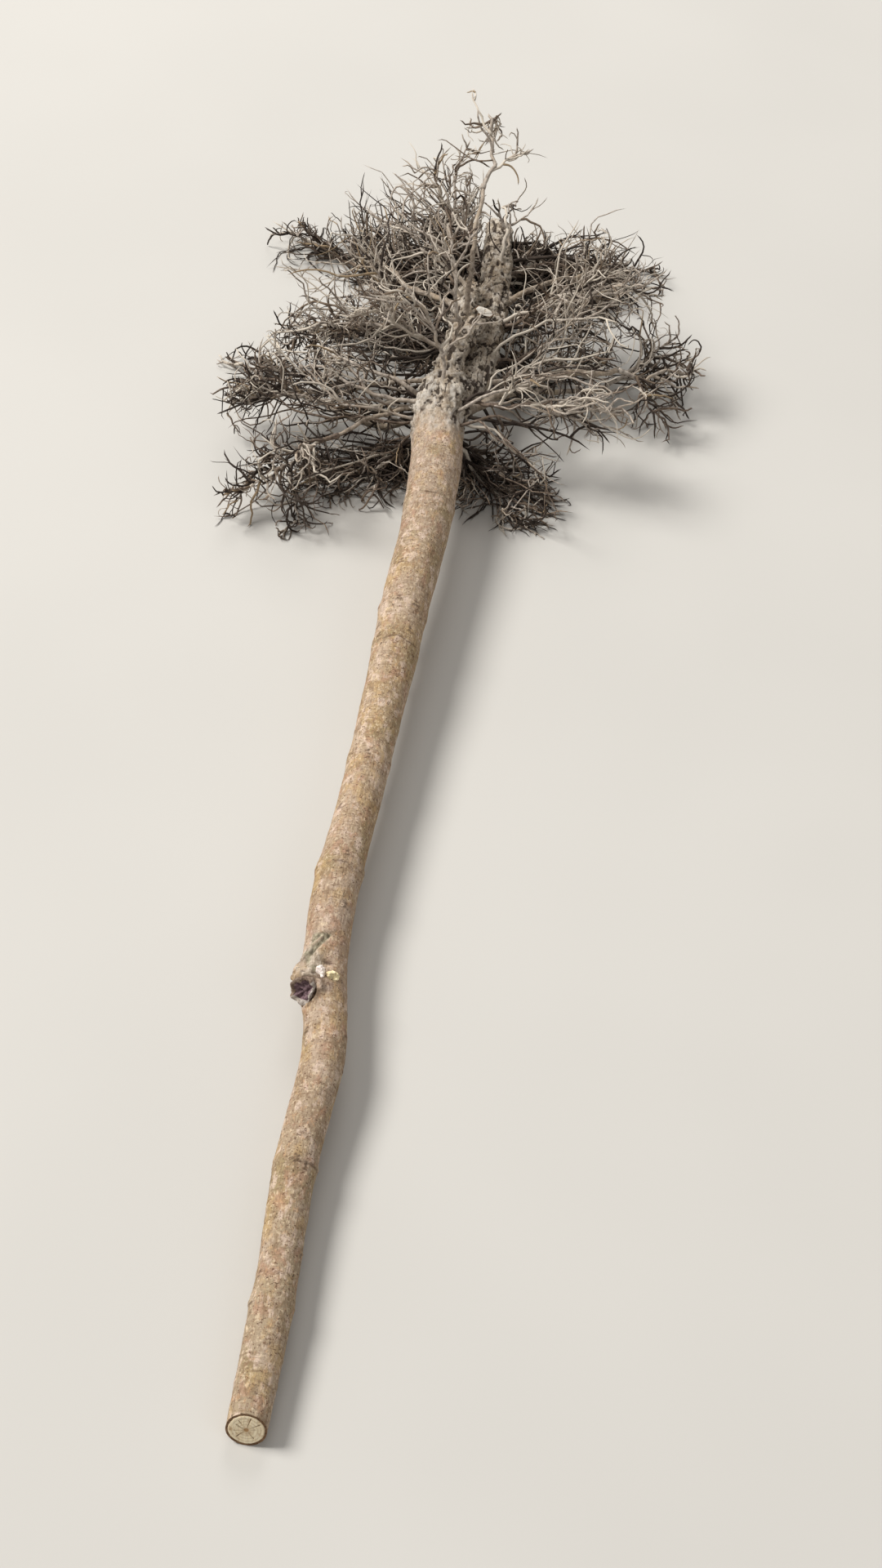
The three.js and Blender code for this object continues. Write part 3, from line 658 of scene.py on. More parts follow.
def bark_look(name):
    """Bark of the stem and the thick roots. How rough each place is comes with the mesh."""
    look = Look(name, 0.85)
    rough, deep, mark_and_painted_shade, fold, dust = (
        look.attribute(mask) for mask in ("rough", "deep", "mark_and_painted_shade", "fold", "dust"))

    # Smooth bark: pinkish grey by the collar, tan with olive patches, pinkish again past the knot.
    length = look.spread(look.along("Y"), -0.53, 0.24)
    tan = look.ramp(length, [
        (0.0, (166, 148, 124)), (0.34, (168, 144, 122)), (0.46, (164, 140, 111)),
        (0.75, (169, 146, 115)), (0.88, (166, 144, 117)), (1.0, (172, 154, 138)),
    ])
    tan = look.layers(tan, [
        ((26, 60, 26), 1, 0.45, 0.64, 0.7, (190, 170, 152)),
        ((24, 46, 24), 3, 0.5, 0.66, 0.6, (146, 129, 90)),
        ((12, 18, 12), 5, 0.5, 0.66, 0.6, (192, 162, 116)),
        ((10, 14, 10), 6, 0.53, 0.66, 0.55, (174, 134, 112)),
        ((7, 10, 7), 14, 0.52, 0.64, 0.65, (220, 198, 182)),
        ((7, 11, 7), 19, 0.53, 0.65, 0.55, (136, 112, 84)),
        ((1.1, 7, 1.1), 7, 0.5, 0.66, 0.45, (120, 97, 76)),
        ((7, 0.9, 7), 8, 0.56, 0.7, 0.35, (112, 90, 71)),
        ((2.2, 2.8, 2.2), 9, 0.54, 0.67, 0.5, (220, 200, 172)),
        ((3.0, 4.6, 3.0), 10, 0.6, 0.68, 0.55, (222, 202, 172)),
        ((2.1, 3.6, 2.1), 11, 0.56, 0.68, 0.4, (198, 156, 118)),
        ((1.8, 2.0, 1.8), 17, 0.55, 0.67, 0.5, (122, 95, 74)),
        ((1.9, 1.5, 1.9), 23, 0.6, 0.67, 0.8, (92, 62, 46)),
        ((10, 1.5, 10), 31, 0.56, 0.67, 0.45, (124, 100, 76)),
        ((2.4, 1.7, 2.4), 37, 0.62, 0.7, 0.75, (92, 71, 53)),
        ((3.2, 3.8, 3.2), 29, 0.69, 0.72, 0.8, (74, 55, 44)),
    ])
    # Dark marks: the leaf rings and bud scars, and painted shade in the slit, the creases, and
    # beside and under the dead branch's cup.
    tan = look.mix(look.spread(mark_and_painted_shade, 0.1, 0.9, 0.0, 0.8), tan, (84, 65, 52))

    # Rough bark: grey and tan, with pale dust on it, a painted highlight on its raised plates, and
    # painted shade in its cracks and pits.
    grey = look.ramp(look.noise((5, 9, 5), 5, 0.62), [
        (0.34, (118, 105, 91)), (0.46, (170, 156, 139)), (0.54, (202, 189, 172)),
        (0.66, (230, 220, 206)),
    ])
    grey = look.layers(grey, [
        ((22, 30, 22), 2, 0.5, 0.66, 0.5, (182, 160, 132)),
        ((9, 12, 9), 12, 0.52, 0.68, 0.5, (134, 120, 104)),
        ((2.0, 3.4, 2.0), 4, 0.54, 0.66, 0.6, (90, 78, 66)),
        ((2.4, 4, 2.4), 9, 0.55, 0.66, 0.55, (228, 219, 206)),
        ((1.0, 5, 1.0), 13, 0.54, 0.66, 0.5, (94, 82, 70)),
    ])
    flakes = look.spread(look.noise((2.2, 3.6, 2.2), 5, 0.7, 21), 0.44, 0.56, 0.25, 0.85)
    # Pale dust by the collar, and a painted highlight on the raised plates.
    grey = look.mix(look.times(dust, flakes), grey, (206, 200, 192))
    # Painted shade in the cracks and pits.
    grey = look.mix(look.spread(deep, 0.15, 0.85, 0.0, 0.92), grey, (58, 46, 38))

    colour = look.mix(rough, tan, grey)
    moss = look.ramp(look.noise((2.4, 3.4, 2.4), 4), [
        (0.35, (94, 88, 72)), (0.5, (146, 138, 117)), (0.65, (196, 188, 164))])
    colour = look.mix(look.spread(fold, 0.1, 0.8, 0.0, 0.9), colour, moss)

    fine = look.bump(look.noise((0.7, 3.5, 0.7), 4, 0.6), 0.3)
    flecks = look.bump(look.noise((1.7, 2.9, 1.7), 3, 0.6, 9), 0.6, 0.8, fine)
    crust = look.times(look.noise((1.8, 3.4, 1.8), 6, 0.7), look.spread(rough, 0, 1, 0.4, 1.6))
    crust = look.bump(crust, 1.0, 0.9, flecks)
    shine = look.spread(look.noise((2, 12, 2), 3), 0.3, 0.7, 0.92, 0.74)
    return look.finish(colour, crust, shine)


def root_look(name, base, light, dark, dust, size):
    """Wrinkled bark of the thin roots."""
    look = Look(name, 0.9, 0.18)
    colour = look.ramp(look.noise(size, 4, 0.62), [(0.28, dark), (0.5, base), (0.74, light)])
    dusty = look.spread(look.noise((14, 14, 14), 3), 0.48, 0.7, 0.0, 0.6)
    wrinkles = look.bump(look.noise((1.1, 1.1, 1.1), 4, 0.6), 0.3)
    return look.finish(look.mix(dusty, colour, dust), wrinkles)


def fine_root_look(name, base, light):
    """A near plain colour for the finest roots, with a little dust on it."""
    look = Look(name, 0.92, 0.15)
    colour = look.mix(look.spread(look.noise((6, 6, 6), 3), 0.4, 0.7, 0.0, 0.6), base, light)
    return look.finish(colour, look.bump(look.noise((0.8, 0.8, 0.8), 2), 0.1))


def cut_wood_look(name, base, light, dark):
    look = Look(name, 0.7)
    fibre = look.spread(look.noise((0.5, 6, 6), 4, 0.6), 0.35, 0.68)
    stain = look.spread(look.noise((3.4, 3.4, 3.4), 4), 0.52, 0.74, 0.0, 0.7)
    colour = look.mix(stain, look.mix(fibre, base, light), dark)
    # The ring attribute darkens the growth rings, pith and cracks of a cut face; on the torn chips
    # it is painted shade.
    colour = look.mix(look.times(look.attribute("ring"), 0.45), colour, dark)
    return look.finish(colour, look.bump(look.noise((0.4, 3, 3), 3), 0.15))


BARK = bark_look("bark_with_flecks")
ROOT_BARK = bark_look("cracked_root_bark")
# Name, size of the wrinkles, and colours: plain, light, dark, dust.
INNER_BARK, DEAD_WOOD, DEAD_RIM, DEAD_HOLLOW, SIDE_ROOT_BARK, *THICKER_FINE = (
    root_look(name, *colours, size) for name, size, *colours in (
        ("inner_bark", (1.6, 1.6, 1.6),
         (122, 94, 70), (160, 130, 98), (82, 60, 44), (138, 114, 88)),
        ("dead_wood", (1.6, 1.6, 1.6),
         (128, 110, 97), (166, 150, 136), (68, 54, 48), (138, 116, 98)),
        ("dead_rim", (1.6, 1.6, 1.6),
         (172, 162, 154), (216, 207, 200), (112, 100, 92), (176, 166, 152)),
        ("dead_hollow", (2.4, 2.4, 2.4),
         (118, 96, 102), (170, 148, 152), (40, 26, 30), (112, 90, 94)),
        ("wrinkled_root_bark", (2.4, 5, 2.4),
         (160, 147, 133), (194, 182, 167), (104, 93, 83), (170, 151, 126)),
        ("fine_root_grey", (2.4, 5, 2.4),
         (176, 165, 154), (208, 199, 188), (116, 106, 98), (182, 166, 146)),
        ("fine_root_brown", (2.4, 5, 2.4),
         (116, 102, 91), (150, 135, 121), (74, 63, 56), (136, 118, 98)),
    ))
FINE_ROOTS = [
    *THICKER_FINE,
    # A dark tone, dealt out mostly to the roots near the ground as painted shade.
    fine_root_look("fine_root_dark_painted_shade", (60, 52, 47), (88, 78, 71)),
    fine_root_look("fine_root_dusty", (202, 192, 179), (222, 213, 199)),
    fine_root_look("fine_root_ochre", (158, 138, 112), (176, 156, 130)),
]
CUT_WOOD = cut_wood_look("cut_wood", (244, 226, 190), (252, 240, 212), (178, 140, 96))
FRESH_WOOD = cut_wood_look("fresh_cut_wood", (252, 245, 234), (255, 251, 244), (236, 220, 196))
PALE_WOOD = cut_wood_look("pale_torn_wood", (252, 240, 234), (255, 249, 245), (196, 160, 148))
YELLOW_WOOD = cut_wood_look("yellow_torn_wood", (255, 236, 184), (255, 246, 214), (138, 102, 48))

# ---- The stem and the thick roots

BARK_STEP, VOXEL = 2.4, 1.0
SPLIT_Y = COLLAR[1] + 6
CUT_EXTRA, CUT_ROOT_EXTRA, ROOT_CUT_REACH = 9.0, 6, 13
FORK_SPAN, EASE_SHARE, EASE_ROUNDS = (215, 240), 0.5, 8
STEM_SIDES, ROOT_SIDES, STUB_SIDES, LUMP_SIDES, ROLL_SIDES = 96, 40, 16, 20, 12
STUB_COUNT, STUB_SEED = 64, 13
STUB_SPANS = {"stem": (-16, 16), "tap_root": (24, 206), "fork_root": (20, 150)}
STUB_WIDTHS = (1.7, 1.35, 1.05, 0.95, 0.85, 0.55)
THICK_START = 13
ROLL_COUNT, ROLL_SEED = 28, 77
KNOB = {"at": 494, "around": 156, "towards_top": 8}
# Shift, height and radius.
KNOB_LUMPS = ((0, 17, 5.0), (4.0, 16, 3.8), (-3.0, 18.5, 3.2))
SPOT_COUNT, SPOT_SEED, SPOT_SPAN = 1300, 31, (-20, 775)
MORE_BUDS, BUD_SEED, RING_SEED = 16, 5, 8


def turned(around, middle):
    """Degrees from the middle, -180 to 180."""
    return (around - middle + 540) % 360 - 180


def across_stem(around, middle, radius=15):
    """Millimetres round the stem from the middle."""
    return np.radians(turned(around, middle)) * radius


def stem_swelling(distance, around):
    """How far the stem's surface stands out of its plain radius."""
    ribs = FOOT_RIBS
    wave = np.cos(np.radians(ribs["count"] * around + ribs["turn"]))
    rise = ribs["rise"] * hump(distance / ribs["length"]) * wave
    for at, high in LEAF_RINGS:
        rise = rise + high * hump((distance - at) / LEAF_RING_WIDTH)
    for at, middle, high, length, spread in (KNOT, KNOT_FOLD, KNOT_HOLLOW):
        rise = rise + high * hump((distance - at) / length, turned(around, middle) / spread)
    return rise


def fine_rings(rows, sign=1, extra=0.0):
    """Distances, middles and radii close together along a limb, and one more beyond its end."""
    start, end = rows[0][0], rows[-1][0]
    distances = np.linspace(start, end, int((end - start) / BARK_STEP))
    centres, radii = along_limb(rows, distances, sign)
    if extra:
        centres = np.vstack([centres, centres[-1] + tangents(centres)[-1] * extra])
        distances, radii = np.append(distances, end + extra), np.append(radii, radii[-1])
    return distances, centres, radii


def stem_base():
    distances, centres, radii = fine_rings(STEM, -1, CUT_EXTRA)
    ways = tangents(centres[:-1])
    ways = np.vstack([ways, ways[-1]])
    around = 360 * np.arange(STEM_SIDES) / STEM_SIDES
    rings = []
    for centre, way, distance, radius in zip(centres, ways, distances, radii):
        out = radius + stem_swelling(distance, around)
        rings.append(centre + out[:, None] * outward(np.radians(around), *across_limb(way)))
    dome = [
        centres[0] + (rings[0] - centres[0]) * share
        - ways[0] * (radii[0] * DOME_DEPTH * math.sqrt(1 - share * share))
        for share in DOME_SHARES[::-1]
    ]
    return skin([*dome, *rings], centres[0] - ways[0] * radii[0] * DOME_DEPTH, centres[-1])


def round_base(centres, radii, sides):
    """A closed round skin along a line of points."""
    ways = tangents(centres)
    right = np.cross(ways[0], (0, 0, 1) if abs(ways[0][2]) < STEEP else (1, 0, 0))
    rings = []
    for centre, way, radius in zip(centres, ways, radii):
        right = unit(right - way * (right @ way))
        rings.append(centre + radius * outward(full_turn(sides), right, np.cross(right, way)))
    points, faces = skin(rings, centres[0], centres[-1])
    return points, faces[:, ::-1]


def limb_base(rows, face=None, extra=0.0):
    _, centres, radii = fine_rings(rows, extra=extra)
    points, faces = round_base(centres, radii, ROOT_SIDES)
    if face is not None:
        normal, way = unit(np.array(face)), tangents(centres)[-1]
        end = points[-ROOT_SIDES - 2:-2]
        end += ((centres[-1] - end) @ normal / (normal @ way))[:, None] * way
    return points, faces


def places_on_limbs(count, spans, random):
    """Random places on the collar, the fork and the tap root, in these spans past the collar:
    the limb's middle and radius there, its right and its top."""
    for name in random.choice(["stem", "tap_root", "tap_root", "fork_root"], count):
        centre, radius, _, right, top = axes_on(limbs[name], random.uniform(*spans[name]))
        yield centre, radius, right, top


def stub_bases():
    """Short broken root ends, and the thick starts of the side roots."""
    random = np.random.default_rng(STUB_SEED)
    parts = []
    for centre, radius, right, top in places_on_limbs(STUB_COUNT, STUB_SPANS, random):
        out = outward(random.uniform(0, 2 * np.pi), right, top)
        way = unit(out + np.array([0, random.uniform(0.1, 0.9), 0]))
        wide, high = random.uniform(1.1, 2.4), random.uniform(1.5, 5.5)
        line = centre + out * radius + way * np.linspace(-3, high, len(STUB_WIDTHS))[:, None]
        line[:, 2] = np.maximum(line[:, 2], 2)
        parts.append(round_base(line, wide * np.array(STUB_WIDTHS), STUB_SIDES))
    for root in side_roots.values():
        line, _ = dense_line(root["points"][:3], 2.0)
        far = distances_along(line)[1:]
        line = line[:-1][far < THICK_START]
        wide = root["radii"][0] * (0.98 + 0.75 * np.exp(-(far[:len(line)] - 3).clip(0) / 3.5))
        wide[-1] *= 0.8
        parts.append(round_base(line, wide, LUMP_SIDES))
    return parts


def knot_parts():
    """Rolls of bark round the dead branch, and a lumpy knob beside it."""
    centre, way = stand_on_stem(DEAD_BRANCH)
    right = unit(np.cross(way, (0, 0, 1)))
    turn = full_turn(ROLL_COUNT)
    random = np.random.default_rng(ROLL_SEED)
    lift = 16.5 + 0.9 * np.sin(2 * turn + 0.6)
    ring = centre + way * lift[:, None] + 8.6 * outward(turn, right, np.cross(right, way))
    wide = 2.1 + 0.5 * np.sin(3 * turn + 1) + random.uniform(-0.3, 0.3, ROLL_COUNT)
    parts = [
        round_base(np.array([a, (a + b) / 2, b]), (first, first, last), ROLL_SIDES)
        for a, b, first, last in zip(ring, np.roll(ring, -1, axis=0), wide, np.roll(wide, -1))
    ]
    centre, way = stand_on_stem(KNOB)
    for side, rise, radius in KNOB_LUMPS:
        line = centre + way * np.linspace(rise - 5, rise + 4, 6)[:, None] + [0, side, 0]
        parts.append(round_base(line, radius * np.array([1, 1, 1, 0.96, 0.8, 0.4]), LUMP_SIDES))
    return parts


def stand_on_stem(place):
    """The stem's middle under a piece of the knot, and the way in which the piece stands out."""
    centre, _, along, right, top = axes_on(limbs["stem"], -place["at"], -1)
    out = outward(math.radians(place["around"]), right, top)
    return centre, unit(outward(math.radians(place["towards_top"]), out, along))


def remeshed(parts):
    """One even skin of small squares round everything that is given."""
    points, faces, kinds = joined([(p, f, np.zeros(len(f))) for p, f in parts])
    rough = mesh_object("rough_wood", points, faces, [], body=None)
    modifier = rough.modifiers.new("remesh", "REMESH")
    modifier.mode = "VOXEL"
    modifier.voxel_size = VOXEL * MM
    graph = bpy.context.evaluated_depsgraph_get()
    mesh = bpy.data.meshes.new_from_object(rough.evaluated_get(graph))
    bpy.data.objects.remove(rough)
    return mesh


def points_of(mesh, what="co"):
    values = np.empty(len(mesh.vertices) * 3, np.float32)
    mesh.vertices.foreach_get(what, values)
    return values.reshape(-1, 3).astype(float)


def eased(points, edges, share):
    """Points moved towards the middle of their neighbours, by a share for each point."""
    count = len(points)
    degree = np.bincount(edges.ravel(), minlength=count)[:, None]
    for _ in range(EASE_ROUNDS):
        total = np.stack([
            np.bincount(edges[:, 0], points[edges[:, 1], k], count)
            + np.bincount(edges[:, 1], points[edges[:, 0], k], count) for k in range(3)
        ], axis=1)
        points = points + share[:, None] * (total / degree - points)
    return points


def stem_places(points):
    """Distance from the collar and degrees around, for points on the stem."""
    distance = COLLAR[1] - points[:, 1]
    table = np.linspace(STEM[0][0], STEM[-1][0], 400)
    values = np.array([values_at(STEM, d) for d in table])
    x = points[:, 0] - COLLAR[0] - np.interp(distance, table, values[:, 0])
    z = points[:, 2] - np.interp(distance, table, values[:, 1])
    return distance, np.degrees(np.arctan2(z, x)) % 360, np.stack([x, points[:, 1], z], axis=1)


def spots(distance, around):
    """Small raised spots, longer along the stem, as a number up to 1 at each point."""
    random = np.random.default_rng(SPOT_SEED)
    order = np.argsort(distance)
    sorted_distance = distance[order]
    total = np.zeros(len(distance))
    for _ in range(SPOT_COUNT):
        at, middle = random.uniform(*SPOT_SPAN), random.uniform(0, 360)
        long, wide = random.uniform(0.8, 1.9), random.uniform(0.5, 0.9)
        start, end = np.searchsorted(sorted_distance, (at - 3 * long, at + 3 * long))
        near = order[start:end]
        rise = hump((distance[near] - at) / long, across_stem(around[near], middle) / wide)
        total[near] = np.maximum(total[near], rise)
    return total


def bud_scars(distance, around):
    """Half-moon leaf scars with a dark bud pit, one on each old leaf ring and more between them."""
    random = np.random.default_rng(BUD_SEED)
    rise, dark = np.zeros((2, len(distance)))
    places = [(at + random.uniform(-3, 3), random.uniform(0, 360)) for at, _ in LEAF_RINGS]
    places += [(random.uniform(60, 760), random.uniform(10, 170)) for _ in range(MORE_BUDS)]
    for at, middle in places:
        side = across_stem(around, middle, 14)
        along = distance - at
        wide = random.uniform(2.2, 3.6)
        arc = along - 0.16 * side * side
        rise += 0.55 * hump(arc / 1.1, side / wide, 4)
        dark = np.maximum(dark, 0.8 * hump((arc - 1.5) / 0.8, side / wide, 4))
        pit = np.exp(-((along + 1.2) ** 2 + side ** 2) / 1.4 ** 2)
        rise -= 0.5 * pit
        dark = np.maximum(dark, pit)
    return rise, dark


def ring_lines(distance, points):
    """Thin wavy lines round the stem, on the leaf rings and between them."""
    random = np.random.default_rng(RING_SEED)
    rise, dark = np.zeros((2, len(distance)))
    between_rings = np.arange(40, 765, 21) + random.uniform(-8, 8, 35)
    places = [(at, 1.0) for at, _ in LEAF_RINGS]
    places += [(at, random.uniform(0.2, 0.6)) for at in between_rings]
    for at, strength in places:
        wave = 1.6 * noise(points, (9, 400, 9), int(at) + 40)
        along = distance - at - wave
        part = strength * smoothstep(-0.35, 0.25, noise(points, (12, 400, 12), int(at) + 90))
        rise += part * 0.45 * hump(along / 1.5)
        dark = np.maximum(dark, part * 0.75 * hump((along - 1.7) / 0.8))
    return rise, dark


def knot_fold(distance, around):
    """The grown-over fold above the knot, a wedge that points to the knot: how far inside it each
    point is, and how close to the tongue in it, to the crease beside that and to its lip."""
    down = (distance - 472) / 17
    along = smoothstep(-0.06, 0.1, down) * smoothstep(1.1, 0.92, down)
    right = 78 + 46 * down
    wedge = along * smoothstep(right - 3, right + 4, around) * smoothstep(138, 129, around)
    tongue = along * hump((around - right - 16) / 7) * smoothstep(0.05, 0.3, down)
    crease = along * hump((around - right - 3) / 4)
    lip = hump((distance - 469.5) / 2) * smoothstep(66, 80, around) * smoothstep(146, 132, around)
    return wedge, tongue, crease, lip


def cup_distance(points):
    """How far points on the dead branch's side of the stem are from the branch's axis."""
    centre, way = stand_on_stem(DEAD_BRANCH)
    along = (points - centre) @ way
    return np.where(along > 0, np.linalg.norm(points - centre - along[:, None] * way, axis=1), 99.0)


def bark_relief(points):
    """How far the bark stands out at each point, and what its colours need to know."""
    distance, around, local = stem_places(points)
    lumps, grain = functools.partial(fractal, points), functools.partial(noise, points)
    ridge = functools.partial(ridges, points)
    off_stem = smoothstep(-2, 14, -distance)
    on_stem = 1 - off_stem
    past_edge = distance + (12 * lumps((8, 34, 8), 3) + 8 * lumps((4, 7, 4), 7))
    rough = np.maximum(off_stem, smoothstep(44, 6, past_edge))

    # Smooth bark.
    ring_rise, ring_dark = ring_lines(distance, local)
    scar_rise, scar_dark = bud_scars(distance, around)
    smooth = 0.6 * lumps((17, 34, 17), 11) + 0.2 * lumps((3, 9, 3), 21)
    smooth += 0.2 * spots(distance, around)
    smooth += ring_rise + scar_rise

    # Rough bark.
    crack = np.abs(grain((4.2, 9, 4.2), 41))
    # The cracks and pits are also darkened in the colour, as painted shade.
    deep = smoothstep(0.17, 0.02, crack) * smoothstep(-0.4, 0.2, grain((9, 15, 9), 45))
    pits = smoothstep(-0.16, -0.4, lumps((3.8, 6, 3.8), 47))
    plates = smoothstep(0.08, 0.34, lumps((6, 10, 6), 53))
    coarse = 1.1 * lumps((8, 15, 8), 51) + 1.2 * lumps((3.4, 4.6, 3.4), 61)
    coarse += 0.9 * (ridge((4, 24, 4), 71) - 0.6) + 0.6 * (ridge((9, 4, 9), 75) - 0.6)
    coarse += 0.7 * off_stem - 1.1 * deep + 0.8 * plates - 1.5 * pits

    # The knot.
    knot = hump((distance - 494) / 15, turned(around, 138) / 46)
    near = smoothstep(0.3, 0.75, knot) * on_stem
    wedge, tongue, wedge_crease, lip = knot_fold(distance, around)
    callus = lumps((4.6, 4.6, 4.6), 81)
    fold = 2 * tongue - 1.3 * wedge - 0.8 * wedge_crease + 0.9 * lip
    fold = fold + knot * (1.5 * callus + 0.8 * ridge((3.4, 3.4, 3.4), 85) - 0.2)
    from_cup = cup_distance(points)
    # The slit is darkened in the colour too, as painted shade.
    slit = hump((distance - 492) / 1.5, across_stem(around, 86) / 4.5)
    # Painted shade on the bark beside the dead branch's cup.
    painted_shade_beside_cup = 0.55 * hump((distance - 508) / 9, turned(around, 80) / 26)
    centre, way = stand_on_stem(KNOB)
    knob = smoothstep(9, 6, np.linalg.norm(points - centre - 19 * way, axis=1))
    # Dark crease lines on the knob, painted shade.
    crease = smoothstep(0.2, 0.05, np.abs(grain((3, 3, 3), 87))) * near
    # Painted shadow on the bark under the rim of the dead branch's cup.
    painted_shadow_under_cup = smoothstep(11, 9, from_cup) * smoothstep(-0.4, 0.2, lumps((4, 4, 4), 89))
    mossy = smoothstep(-0.2, 0.5, lumps((5, 5, 5), 91))

    relief = smooth * (1 - rough) + coarse * rough + fold * on_stem
    relief -= 4.5 * smoothstep(7.6, 5.4, from_cup)
    relief -= 2 * slit
    dusty = smoothstep(44, 20, past_edge) * smoothstep(-75, -10, distance)
    dusty = dusty * smoothstep(-0.35, 0.35, lumps((5, 9, 5), 95))
    # Dark marks: leaf rings and bud scars, with painted shade in the slit, the fold's crease, the
    # knob's creases, and beside and under the cup.
    marks_and_painted_shade = (ring_dark, scar_dark, slit, painted_shade_beside_cup, wedge_crease, 0.9 * crease * knob,
             0.7 * painted_shadow_under_cup)
    return relief, {
        "rough": np.maximum(rough, 0.75 * near * (1 - 0.6 * knob)),
        # Painted shade in the cracks, the pits and the low spots of the callus by the knot.
        "deep": np.maximum(np.maximum(deep, pits) * rough, near * smoothstep(0.0, -0.5, callus)),
        "mark_and_painted_shade": np.maximum.reduce(marks_and_painted_shade) * (1 - rough),
        "fold": np.maximum(wedge * (1 - 0.7 * tongue), 0.8 * near * (1 - 0.7 * knob) * mossy),
        # Pale dust by the collar, and a painted highlight on the raised plates of the rough bark.
        "dust": np.maximum(dusty, 0.6 * plates * rough),
    }


def roughened(mesh):
    """The joined wood made even, and then given the bark's relief."""
    edges = np.empty(len(mesh.edges) * 2, np.int32)
    mesh.edges.foreach_get("vertices", edges)
    points = points_of(mesh) / MM
    fork = smoothstep(*FORK_SPAN, points[:, 1])
    for share in (np.full(len(points), EASE_SHARE), EASE_SHARE * fork):
        points = eased(points, edges.reshape(-1, 2), share)
    set_points(mesh, points)
    mesh.update()
    relief, _ = bark_relief(points)
    points = points + points_of(mesh, "normal") * relief[:, None]
    points[:, 2] = np.maximum(points[:, 2], 0.05)
    set_points(mesh, points)
    mesh.update()
    return mesh


wood = roughened(remeshed([
    stem_base(), limb_base(TAP_ROOT, TAP_ROOT_FACE), limb_base(FORK_ROOT),
    limb_base(CUT_ROOT, extra=CUT_ROOT_EXTRA), *stub_bases(), *knot_parts(),
]))


def cut_away(bm, place, normal, near=math.inf, kind=0):
    """Cuts off what lies beyond a plane, only this near to the place, and closes the cut.
    Returns the points of its outline."""
    place, normal, near = Vector(place) * MM, Vector(normal).normalized(), near * MM
    faces = [f for f in bm.faces if (f.calc_center_median() - place).length < near]
    geometry = list(dict.fromkeys(x for f in faces for x in (*f.verts, *f.edges, f)))
    bmesh.ops.bisect_plane(bm, geom=geometry, plane_co=place, plane_no=normal, dist=1e-7)
    beyond = [
        v for v in bm.verts if (v.co - place).dot(normal) > 1e-6 and (v.co - place).length < near
    ]
    bmesh.ops.delete(bm, geom=beyond, context="VERTS")
    open_edges = [e for e in bm.edges if e.is_boundary]
    corners = dict.fromkeys(v for e in open_edges for v in e.verts)
    outline = np.array([v.co[:] for v in corners]) / MM
    for face in bmesh.ops.holes_fill(bm, edges=open_edges, sides=0)["faces"]:
        face.material_index = kind
        face.smooth = False
    return outline


def wood_piece(name, normal, cut, bark):
    """The wood behind a plane across the collar, with one more cut closed by inner bark, and the
    outline of that cut."""
    bm = bmesh.new()
    bm.from_mesh(wood)
    for face in bm.faces:
        face.smooth = True
    cut_away(bm, (0, SPLIT_Y, 0), normal)
    outline = cut_away(bm, *cut, kind=1)
    mesh = bpy.data.meshes.new(name)
    bm.to_mesh(mesh)
    bm.free()
    for material in (bark, INNER_BARK):
        mesh.materials.append(material)
    piece = placed(name, mesh)
    _, masks = bark_relief(points_of(mesh) / MM)
    for mask, values in masks.items():
        add_floats(piece, mask, values)
    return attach(piece, "root"), outline


stem_end = limbs["stem"]["points"][-1]
stem_way = tangents(limbs["stem"]["points"])[-1]
STEM_FACE = unit(stem_way + np.array([0, 0, math.tan(math.radians(STEM_CUT_SLANT))]))
trunk, stem_outline = wood_piece("trunk", (0, 1, 0), (stem_end, STEM_FACE), BARK)
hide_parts("stem")

root_end = limbs["cut_root"]["points"][-1]
root_cut = (root_end, CUT_ROOT_FACE, ROOT_CUT_REACH)
crown, root_outline = wood_piece("root_crown", (0, -1, 0), root_cut, ROOT_BARK)
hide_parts("tap_root", "fork_root", "cut_root")
bpy.data.meshes.remove(wood)

# ---- Cut faces

FACE_SIDES, FACE_STEPS, CRACK_COUNT, GROWTH_RINGS = 96, 26, 9, 5


